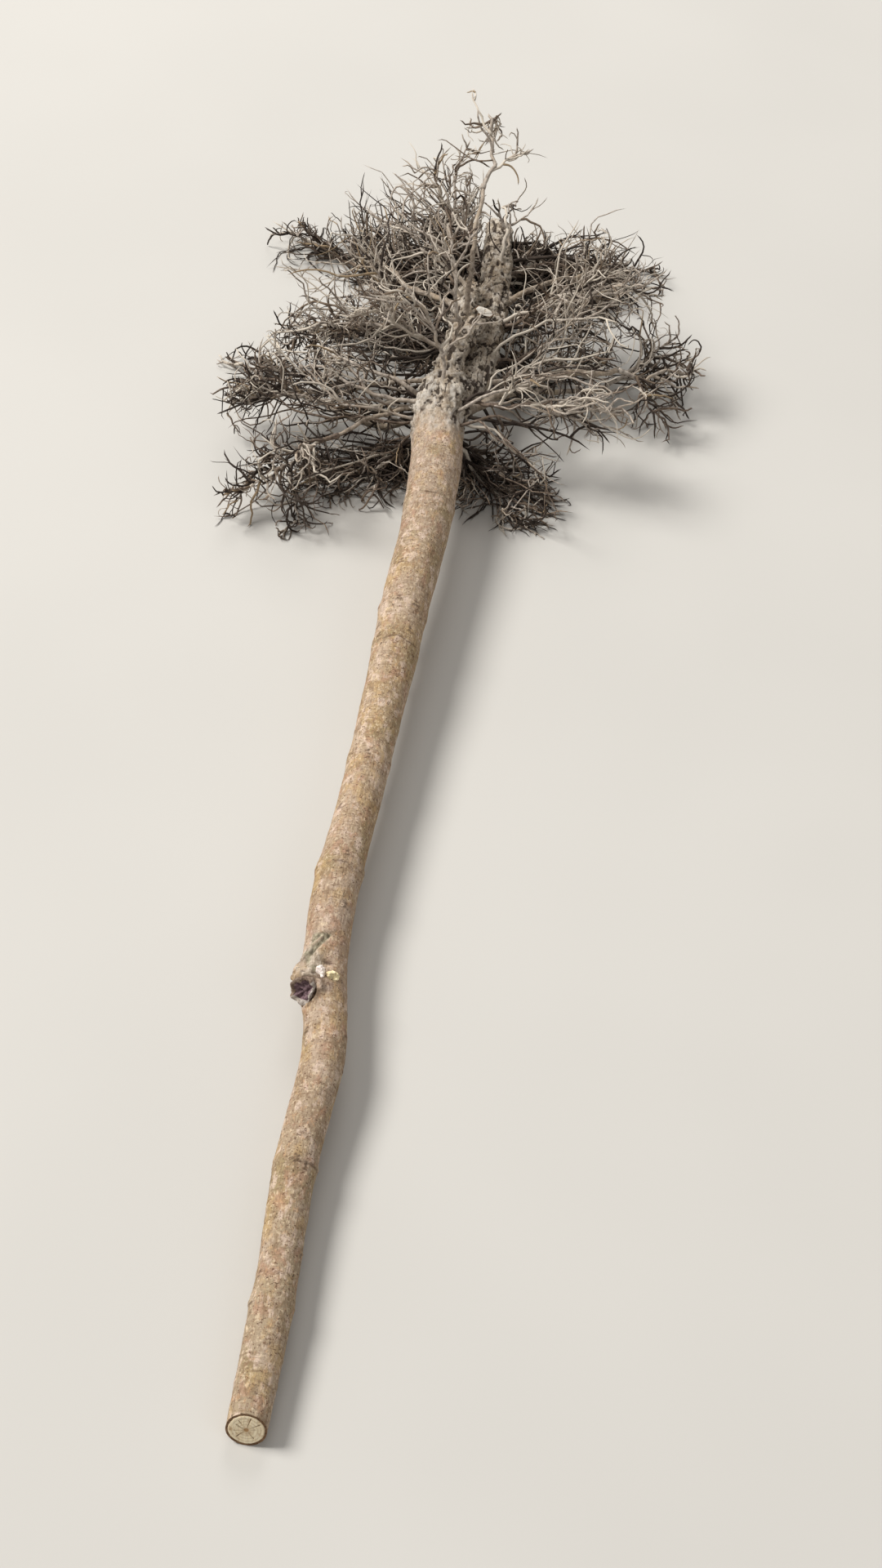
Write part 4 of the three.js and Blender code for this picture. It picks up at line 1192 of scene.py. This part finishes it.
def cut_face(name, outline, centre, normal, bark, wood_look, seed):
    """A slightly uneven disc of wood inside the bark's cut edge, with its rings, a few drying
    cracks and a darker pith."""
    normal = unit(np.array(normal, float))
    right = unit(np.cross(normal, (0, 0, 1) if abs(normal[2]) < STEEP else (0, 1, 0)))
    top = np.cross(normal, right)
    x, y = (outline - centre) @ right, (outline - centre) @ top
    turn = np.arctan2(y, x)
    order = np.argsort(turn)
    angles = full_turn(FACE_SIDES) - np.pi
    far = np.interp(angles, turn[order], np.hypot(x, y)[order], period=2 * np.pi) - bark
    far = np.mean([np.roll(far, k) for k in range(-4, 5)], axis=0)
    random = np.random.default_rng(seed)
    cracks = [
        (random.integers(FACE_SIDES), random.uniform(0.1, 0.35), random.uniform(0.5, 0.95))
        for _ in range(CRACK_COUNT)
    ]
    points, ring = [], []
    for share in np.linspace(1, 0.04, FACE_STEPS):
        radius = far * share
        spot = np.stack([np.cos(angles) * radius, np.sin(angles) * radius, 0 * radius], axis=1)
        saw = 0.09 * noise(spot, (0.7, 9, 1), seed) + 0.12 * noise(spot, (4, 4, 1), seed + 1)
        cracked = np.zeros(FACE_SIDES)
        for side, inner, outer in cracks:
            cracked[side] = inner < share < outer
        lift = 0.3 + saw - 0.35 * smoothstep(0.93, 1.0, share)
        lift = lift - 0.25 * smoothstep(0.14, 0.05, share) - 0.5 * cracked
        points.append(centre + spot[:, :1] * right + spot[:, 1:2] * top + lift[:, None] * normal)
        wave = share * 2 * np.pi * GROWTH_RINGS + 0.8 * noise(spot, (5, 5, 1), seed + 2)
        stained = 0.5 * smoothstep(0.5, 0.2, share + 0.1 * noise(spot, (3, 3, 1), seed + 3))
        pith = 1.9 * smoothstep(0.2, 0.08, share)
        ring.append(np.maximum.reduce(
            [0.9 * (0.5 + 0.5 * np.cos(wave)) ** 3, stained + pith, 1.5 * cracked]))
    under = points[0] - normal * 1.2
    points, faces = skin([under, *points], under.mean(0), points[-1].mean(0))
    piece = mesh_object(name, points, faces, [wood_look])
    add_floats(piece, "ring", np.concatenate([ring[0], *ring, [0, 1.6]]))


cut_face("stem_cut_face", stem_outline, stem_end, STEM_FACE, 1.25, CUT_WOOD, 200)
cut_face("root_cut_face", root_outline, root_end, CUT_ROOT_FACE, 0.7, FRESH_WOOD, 210)

# ---- The knot's dead branch and broken ends

CUP_SIDES, CHIP_SIDES = 72, 56
CUP_FLAT_SIDE, CUP_LOW_SIDE, CUP_PALE_SIDE, CUP_TILT, CUP_DEPTH = 168, 140, 200, 3.8, 4.6


def circle_of(sides, radius):
    """The turns of the sides of a ring, and points on it."""
    turn = full_turn(sides)
    return turn, np.stack([np.cos(turn), np.sin(turn), 0 * turn], axis=1) * radius


def standing(place, radii, heights, low, high):
    """A closed skin round the axis of a piece of the knot. Radii and heights have a row for each
    ring and a column for each side, and low and high are the heights where the ends close."""
    centre, way = stand_on_stem(place)
    right = unit(np.cross(way, (0, 0, 1)))
    out = outward(full_turn(len(radii[0])), right, np.cross(right, way))
    rings = [centre + r[:, None] * out + height[:, None] * way for r, height in zip(radii, heights)]
    points, faces = skin(rings, centre + way * low, centre + way * high)
    return points, faces[:, ::-1]


def dead_branch_cup():
    """A hollow broken branch: its wall, a grey rim that is lower on one side, and a dark inside."""
    high, wide = DEAD_BRANCH["height"], DEAD_BRANCH["radius"]
    turn, circle = circle_of(CUP_SIDES, wide)
    low_side, flat_side, pale_side = (
        np.cos(turn - math.radians(side)) for side in (CUP_LOW_SIDE, CUP_FLAT_SIDE, CUP_PALE_SIDE))
    ragged = 1.6 * fractal(circle, 4.5, 300) + 0.8 * noise(circle, 1.4, 303)
    ragged -= CUP_TILT * (0.5 + 0.5 * low_side)
    outline = np.where(flat_side > 0.1, np.minimum(1, 0.68 / np.maximum(flat_side, 0.1)), 1)
    outline += 0.1 * fractal(circle, 5, 307)
    # Rows: share of the radius, height, how torn.
    wall = [(0.95, 6, 0), (1.02, 12, 0), (1.07, high - 6.5, 0.3), (1.08, high - 4, 0.6)]
    rim = [
        (1.08, high - 2, 0.85), (1.07, high - 0.6, 1), (1.0, high, 1), (0.88, high - 0.1, 1),
        (0.79, high - 0.8, 0.95),
    ]
    inside = [
        (0.73, high - 1.9, 0.8), (0.65, high - 2.9, 0.7), (0.54, high - 3.7, 0.6),
        (0.4, high - CUP_DEPTH + 0.4, 0.5), (0.26, high - CUP_DEPTH, 0.4),
        (0.12, high - CUP_DEPTH, 0.3),
    ]
    radii, heights = [], []
    for row, (share, height, torn) in enumerate(wall + rim + inside):
        spot = circle * share + np.array([0, 0, height])
        deep = row >= len(wall + rim)
        rough = 0.5 * fractal(spot, (3, 3, 2.4), 310) + 0.25 * noise(spot, (1.2, 1.2, 3), 315)
        rough = rough + deep * 0.8 * noise(spot, (1.6, 1.6, 5), 320)
        radii.append((wide * share + rough) * outline)
        heights.append(height + torn * ragged + deep * 1.1 * noise(spot, (2.2, 2.2, 3), 325))
    points, faces = standing(DEAD_BRANCH, radii, heights, 6, high - CUP_DEPTH)
    # Kinds of wood, by their places among the looks.
    rim_kind = np.where(pale_side + 0.3 * noise(circle, 3, 330) > 0, 2, 0)
    rows = [0 * rim_kind] * len(wall) + [rim_kind] * len(rim)
    rows += [0 * rim_kind + 1] * (len(inside) - 1)
    kinds = np.concatenate([np.repeat(np.concatenate(rows), 2), np.tile([0, 1], CUP_SIDES)])
    looks = [DEAD_WOOD, DEAD_HOLLOW, DEAD_RIM]
    piece = mesh_object("dead_branch_cup", points, faces, looks, kinds)
    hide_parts("dead_branch")


def broken_end(name, place, material, seed, stain, sunk, width):
    """A low torn chip of wood, with fibres that end at different heights, and painted shade on one
    side and at its foot.
    """
    high, wide = place["height"] - sunk, place["radius"] * width
    turn, circle = circle_of(CHIP_SIDES, wide)
    torn = 0.7 * noise(circle, (0.9, 0.9, 1), seed) + 1.2 * np.cos(turn - 2.2)
    outline = 1 + 0.2 * np.cos(2 * turn + seed) + 0.14 * noise(circle, (1.5, 1.5, 1), seed + 7)
    # Rows: share of the radius, height, how torn.
    profile = [
        (1.45, 8.0, 0), (1.4, high * 0.62, 0), (1.25, high * 0.74, 0.1), (1.1, high * 0.83, 0.4),
        (1.0, high - 1.2, 0.8), (0.88, high - 0.5, 1.0), (0.66, high - 0.7, 0.8),
        (0.4, high - 1.1, 0.5), (0.15, high - 0.9, 0.2),
    ]
    radii, heights, ring = [], [], []
    for share, height, part in profile:
        spot = circle * share + np.array([0, 0, height])
        radii.append(wide * share * outline * (1 + 0.1 * noise(spot, (0.7, 0.7, 6), seed + 3)))
        heights.append(height + part * torn + 0.2 * noise(spot, (0.6, 0.6, 2), seed + 5))
        # Painted shade: one side of the chip and its foot come out darker.
        ring.append(stain * np.clip(0.8 - np.cos(turn - 3.9) + 1.6 * (share > 1.2), 0, 2))
    points, faces = standing(place, radii, heights, 8, high - 0.9)
    piece = mesh_object(f"torn_wood_{name}", points, faces, [material])
    add_floats(piece, "ring", np.concatenate([*ring, [1.2, 0.6]]))
    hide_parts(f"broken_end_{name}")


dead_branch_cup()
broken_end("pale", {**BROKEN_ENDS["pale"], "at": 492.5}, PALE_WOOD, 400, 0.1, 2.6, 1.08)
broken_end("yellow", BROKEN_ENDS["yellow"], YELLOW_WOOD, 420, 0.3, 2.2, 0.92)

# ---- Side roots

SIDE_ROOT_SIDES, SIDE_ROOT_BARK_SEED = 14, 500


def wandering(line, amount, size, seed):
    """A line with small crooks, none at its start."""
    stray = np.stack([noise(line, size, seed + k) for k in range(3)], axis=1)
    return line + amount * stray * smoothstep(0, 2.5 * size, distances_along(line))[:, None]


def side_root(name, root, seed):
    line, places = dense_line(root["points"], 1.7)
    line = wandering(line, 1.0, 9.0, seed)
    radii = np.interp(places, np.arange(len(root["radii"])), root["radii"])
    radii[1:] *= 1 + 0.3 * np.exp(-(distances_along(line)[1:] - 4).clip(0) / 4)
    radii *= 1 + 0.08 * noise(line, 6.0, seed + 5)
    line[:, 2] = np.maximum(line[:, 2], radii + 0.05)
    points, faces, _ = tubes(line[None], radii[None], SIDE_ROOT_SIDES)
    skin_points = points[:-1]
    out = unit(skin_points - np.repeat(line[:-1], SIDE_ROOT_SIDES, axis=0))
    bumps = 0.3 * fractal(skin_points, 3.4, seed + 9)
    bumps = bumps + 0.22 * ridges(skin_points, 1.9, seed + 12) - 0.15
    skin_points += out * bumps[:, None]
    piece = mesh_object(f"side_root_{name}_bark", points, faces, [SIDE_ROOT_BARK])
    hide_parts(f"side_root_{name}")


for index, (name, root) in enumerate(side_roots.items()):
    side_root(name, root, SIDE_ROOT_BARK_SEED + 20 * index)

# ---- Fine roots, carried on by the same rule to finer ones

PLACES, OWN_SIDES = 10, 6
# The part's own fine roots, thinner and more crooked than its solids: first and last radius.
OWN_RADII = {"main": (1.7, 0.9), "branch": (1.15, 0.55), "twig": (0.85, 0.45)}
FINER_LEVELS = {
    "root": {"shares": (0.7, 1.35), "lean": (0.5, 1.7), "segments": PLACES - 1, "kink": 0.42,
             "arc": 2.9, "from": 0.85, "to": 0.42, "sides": 5},
    "rootlet": {"shares": (0.4, 1.0), "lean": (0.6, 1.9), "segments": 6, "kink": 0.45,
                "arc": 2.6, "from": 0.5, "to": 0.28, "sides": 4},
}
LIMB_ROOTS = {"segments": PLACES - 1, "kink": 0.42, "arc": 2.2, "from": 1.4, "to": 0.6, "sides": 6}
LIMB_ROOT_COUNT = 800
LIMB_ROOT_SPANS = {"stem": (-18, 18), "tap_root": (18, 268), "fork_root": (12, 150)}
# How many roots and rootlets stand on each kind.
SPROUTS = {"main": (16, 5), "branch": (11, 3), "twig": (5, 3), "limb": (8, 3), "root": (0, 2)}
REACH, OUTER_EDGE, WOOD_CLEARANCE = 18.0, 36.0, 0.7
TONE_SEED, FINE_SEED, LIMB_ROOT_SEED = 61, 62, 63

# The photograph shows the thick roots from this side, with few fine ones over them.
OPEN_SIDE = unit(np.array([0, -0.66, 0.75]))
CLEARED_SHARE = 0.85

# How often each of the fine roots' five colours is dealt out. Roots high up get more pale tones as
# painted light, and roots lower down get more dark ones as painted shade.
OWN_TONES = (0.55, 0.25, 0, 0.2, 0)
LIT_TOP_TONES = (0.4, 0.16, 0.08, 0.33, 0.03)
SHADED_LOW_TONES = (0.1, 0.3, 0.52, 0.06, 0.02)

# What these bunches keep of their finer roots, where the photograph shows the thick roots.
THIN_BUNCHES = {
    "collar_top": 0.35, "fork_top": 0.5, "collar_right": 0.45, "fork_back": 0.7, "tap_top": 0.5,
    "tap_middle_right": 0.9, "tip_rising": 0.5, "tip_right": 0.8, "collar_left": 0.7,
}


def at_places(line, count):
    """The same line with this many points, evenly spaced."""
    far = distances_along(line)
    wanted = np.linspace(0, far[-1], count)
    return np.stack([np.interp(wanted, far, line[:, k]) for k in range(3)], axis=1)


def off_way(side, way):
    """What of a direction points across the way."""
    return unit(side - way * (side * way).sum(1, keepdims=True))


def walk_many(start, first, last, length, rule, random):
    """The walk of the rule above for many roots at once, each of them also bent along an arc."""
    segments = rule["segments"]
    lines = np.empty((len(start), segments + 1, 3))
    lines[:, 0] = start
    stray = np.zeros_like(start)
    side = random.random(start.shape) - 0.5
    arc = rule["arc"] * random.uniform(0.1, 1, (len(start), 1))
    for i in range(segments):
        share = (i + 0.5) / segments
        way = unit(first + (last - first) * share)
        way = way * np.cos(arc * share) + off_way(side, way) * np.sin(arc * share)
        stray = KINK_KEPT * stray + rule["kink"] * (2 * random.random(start.shape) - 1)
        lines[:, i + 1] = lines[:, i] + unit(way + stray) * (length / segments)[:, None]
        lines[:, i + 1, 2] = np.maximum(lines[:, i + 1, 2], rule["from"] + GROUND_CLEARANCE)
    return lines


def sprout_many(lines, lengths, owners, count, rule, random):
    """Side roots of many roots at once. Returns their lines, lengths and owners."""
    index = np.repeat(np.arange(len(lines)), count)
    order = np.tile(np.arange(count), len(lines)) + random.random(len(index))
    share = FIRST_SPROUT + (LAST_SPROUT - FIRST_SPROUT) * order / count
    place = share * (lines.shape[1] - 1)
    i = np.minimum(place.astype(int), lines.shape[1] - 2)
    a, b = lines[index, i], lines[index, i + 1]
    start = a + (b - a) * (place - i)[:, None]
    along = unit(b - a)
    out = off_way(unit(random.random(start.shape) - 0.5), along)
    first = unit(along + out * between(rule["lean"], random.random(len(index)))[:, None])
    last = first + (along - first) * TURN_BACK
    last[:, 2] -= DROOP
    grown = LENGTH_AT_BASE - LENGTH_LOST_BY_TIP * share
    length = lengths[index] * between(rule["shares"], random.random(len(index))) * grown
    return walk_many(start, first, last, length, rule, random), length, owners[index]


def beside_piece(points, a, b):
    """How far along a straight piece each point is, from 0 to 1, and how far from it."""
    v = b - a
    t = ((points - a) @ v / (v @ v)).clip(0, 1)
    return t, np.linalg.norm(points - a - t[:, None] * v, axis=1)


def wood_distance(points):
    """How far points are from the surface of the stem, the thick roots and the side roots."""
    nearest = np.full(len(points), np.inf)
    for _, a, b, r in LIMB_PIECES:
        nearest = np.minimum(nearest, beside_piece(points, a, b)[1] - r)
    return nearest


def seen_flat(points):
    return points - np.multiply.outer(points @ OPEN_SIDE, OPEN_SIDE)


def over_thick_roots(points):
    """Which points lie over the collar or the thick roots, as the photograph looks at them."""
    over = np.zeros(len(points), bool)
    flat = seen_flat(points)
    for owner, a, b, r in LIMB_PIECES:
        if owner in limbs and max(a[1], b[1]) >= COLLAR[1] - 20:
            t, beside = beside_piece(flat, seen_flat(a), seen_flat(b))
            above = (points - a - t[:, None] * (b - a)) @ OPEN_SIDE
            over |= (beside < r + 1) & (above > 0)
    return over


def cut_short(group, boxes, low, high, random):
    """Roots cut off where they leave their bunch's reach or touch the thick wood, without those of
    which too little is left. The reach differs from root to root, which leaves no even edge."""
    lines, lengths, owners = group
    count, places, _ = lines.shape
    reach = REACH * random.uniform(0, 1, (count, 3))
    inner = OUTER_EDGE * random.random((count, 3))
    room_low = np.maximum(boxes[owners, 0] - reach, low + inner * [1, 1, 0])[:, None]
    room_high = np.minimum(boxes[owners, 1] + reach, high - inner)[:, None]
    out = ((lines < room_low) | (lines > room_high)).any(2)
    gaps = wood_distance(lines[:, 2:].reshape(-1, 3)).reshape(count, -1)
    out[:, 2:] |= gaps < WOOD_CLEARANCE
    hiding = over_thick_roots(lines.reshape(-1, 3)).reshape(count, -1)
    out |= hiding & (random.random((count, 1)) < CLEARED_SHARE)
    free = np.where(out.any(1), out.argmax(1), places) - 1
    left = free >= places / 3
    lines, lengths, owners, free = lines[left], lengths[left], owners[left], free[left]
    spots = np.linspace(0, 1, places)[None] * free[:, None]
    i = np.minimum(spots.astype(int), places - 2)
    share = (spots - i)[..., None]
    row = np.arange(len(free))[:, None]
    lines = lines[row, i] * (1 - share) + lines[row, i + 1] * share
    return lines, lengths * free / (places - 1), owners


def limb_roots(boxes):
    """Thin roots that leave the collar, the fork and the tap root between the bunches, few of them
    on top."""
    random = np.random.default_rng(LIMB_ROOT_SEED)
    middles = boxes.mean(1)
    starts, firsts, owners = [], [], []
    for centre, radius, right, top in places_on_limbs(LIMB_ROOT_COUNT, LIMB_ROOT_SPANS, random):
        out = outward(math.radians(90 + random.uniform(35, 325)), right, top)
        first = unit(out + np.array([0, random.uniform(-0.2, 1.0), 0]))
        start = centre + out * (radius - 1.2)
        starts.append(start)
        firsts.append(first)
        owners.append(np.argmin(np.linalg.norm(middles - (start + 40 * first), axis=1)))
    firsts = np.array(firsts)
    lasts = firsts * np.array([1, 1, 0.2]) + np.array([0, 0.2, -0.1])
    length = random.uniform(35, 135, LIMB_ROOT_COUNT)
    lines = walk_many(np.array(starts), firsts, lasts, length, LIMB_ROOTS, random)
    return lines, length, np.array(owners)


def add_tubes(parts, group, rule, tones):
    """Tubes of many roots added to the bunches that they belong to, in plain colours dealt out,
    pale more often on top as painted light and dark more often near the ground as painted shade."""
    lines, _, owners = group
    size = tones.uniform(0.7, 1.3, len(lines))
    radii = taper(lines.shape[1], rule["from"], rule["to"])[None] * size[:, None]
    # The lower a root lies, the likelier it takes the dark tones of painted shade; the others take
    # the pale tones of painted light.
    low = tones.random(len(lines)) < smoothstep(80, 22, lines[:, :, 2].mean(1))
    shaded_low_tone, lit_top_tone = (tones.choice(5, len(lines), p=p) for p in (SHADED_LOW_TONES, LIT_TOP_TONES))
    tone = np.where(low, shaded_low_tone, lit_top_tone)
    for b, part in enumerate(parts):
        own = owners == b
        if own.any():
            points, faces, owner = tubes(lines[own], radii[own], rule["sides"])
            part.append((points, faces, tone[own][owner]))


def fine_root_pieces():
    low = np.array(CAD_BOX[0]) / MM + [0.5, 0.5, 0]
    high = np.array(CAD_BOX[1]) / MM - 0.5
    clouds = [np.concatenate([twig["points"] for twig in twigs]) for twigs in bunches.values()]
    boxes = np.array([[cloud.min(0), cloud.max(0)] for cloud in clouds])
    parts = [[] for _ in bunches]
    own = {kind: [] for kind in OWN_RADII}
    tones = np.random.default_rng(TONE_SEED)
    for b, twigs in enumerate(bunches.values()):
        for n, twig in enumerate(twigs):
            kind = list(OWN_RADII)[twig["level"]]
            wide, narrow = OWN_RADII[kind]
            line, _ = dense_line(twig["points"], 3.2, 0.5)
            line = wandering(line, 2.3, 8.0, 1000 + 50 * b + n)
            line[:, 2] = np.maximum(line[:, 2], wide + GROUND_CLEARANCE)
            radii = taper(len(line), wide, narrow) * (1 + 0.16 * noise(line, 4.0, 900 + n))
            radii[:2] *= 1.25
            points, faces, _ = tubes(line[None], radii[None], OWN_SIDES)
            parts[b].append((points, faces, np.full(len(faces), tones.choice(5, p=OWN_TONES))))
            own[kind].append((at_places(line, PLACES), twig["length"], b))

    random = np.random.default_rng(FINE_SEED)
    groups = {kind: [np.array(column) for column in zip(*rows)] for kind, rows in own.items()}
    share_kept = np.array([THIN_BUNCHES.get(name, 1.0) for name in bunches])

    def thinned(group):
        kept = random.random(len(group[2])) < share_kept[group[2]]
        return cut_short([part[kept] for part in group], boxes, low, high, random)

    def sprouted(kind, level):
        count = SPROUTS[kind][list(FINER_LEVELS).index(level)]
        return thinned(sprout_many(*groups[kind], count, FINER_LEVELS[level], random))

    groups["limb"] = thinned(limb_roots(boxes))
    add_tubes(parts, groups["limb"], LIMB_ROOTS, tones)
    grown = [sprouted(kind, "root") for kind in groups]
    groups["root"] = [np.concatenate(column) for column in zip(*grown)]
    add_tubes(parts, groups["root"], FINER_LEVELS["root"], tones)
    for kind in groups:
        add_tubes(parts, sprouted(kind, "rootlet"), FINER_LEVELS["rootlet"], tones)

    for name, part in zip(bunches, parts):
        points, faces, kinds = joined(part)
        piece = mesh_object(f"wiry_roots_{name}", points, faces, FINE_ROOTS, kinds)
        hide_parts(f"fine_roots_{name}")


fine_root_pieces()

# ---- Floor, light and camera

FLOOR_SIZE = 4.0
# Name, place, what it points at, size, watts, colour.
LIGHTS = [
    ("key", (-5.44, 1.0, 6.08), (0, 0.05, 0), 3.2, 758, (1.0, 0.975, 0.93)),
    ("fill", (3.4, -2.4, 3.2), (0, 0, 0), 3.6, 20, (1.0, 0.97, 0.93)),
    ("back", (-0.4, 4.2, 3.8), (0, 0.2, 0), 2.4, 64, (1.0, 0.98, 0.95)),
]
SKY_COLOUR, SKY_STRENGTH = (1.0, 0.975, 0.94, 1), 0.3

# The eye stands before the cut top, as in the photograph, and this way is up in its picture.
EYE = Vector((0.0429, -1.0309, 1.09))
AIM = Vector((0.035, -0.095, 0.03))
PICTURE_UP = Vector((-0.1516, 0.7032, 0.6947))
LENS = 52


def floor():
    mesh = bpy.data.meshes.new("floor")
    corners = [(FLOOR_SIZE * x, FLOOR_SIZE * y, 0) for x, y in ((-1, -1), (1, -1), (1, 1), (-1, 1))]
    mesh.from_pydata(corners, [], [(0, 1, 2, 3)])
    look = Look("pale_floor", 0.9, 0.1)
    shade = look.spread(look.noise((320, 320, 320), 2), 0.3, 0.7)
    colour = look.mix(shade, (204, 202, 198), (207, 205, 201))
    mesh.materials.append(look.finish(colour, look.bump(look.noise((3, 3, 3), 2), 0.05, 0.4)))
    placed("floor", mesh)


def surroundings():
    world = bpy.data.worlds.new("soft_sky")
    world.use_nodes = True
    background = world.node_tree.nodes["Background"]
    background.inputs["Color"].default_value = SKY_COLOUR
    background.inputs["Strength"].default_value = SKY_STRENGTH
    bpy.context.scene.world = world
    for name, place, target, size, watts, colour in LIGHTS:
        data = bpy.data.lights.new(name, "AREA")
        data.shape = "DISK"
        data.size, data.energy, data.color = size, watts, colour
        light = placed(name, data)
        light.location = place
        way = Vector(target) - Vector(place)
        light.rotation_euler = way.to_track_quat("-Z", "Y").to_euler()


def camera():
    data = bpy.data.cameras.new("camera")
    data.lens = LENS
    data.sensor_width = 36
    data.clip_start, data.clip_end = 0.05, 20
    piece = placed("camera", data)
    back = (EYE - AIM).normalized()
    right = PICTURE_UP.cross(back).normalized()
    turn = Matrix((right, back.cross(right), back)).transposed()
    piece.matrix_world = Matrix.Translation(EYE) @ turn.to_4x4()
    bpy.context.scene.camera = piece


floor()
surroundings()
camera()
bpy.context.scene.view_settings.view_transform = "Standard"
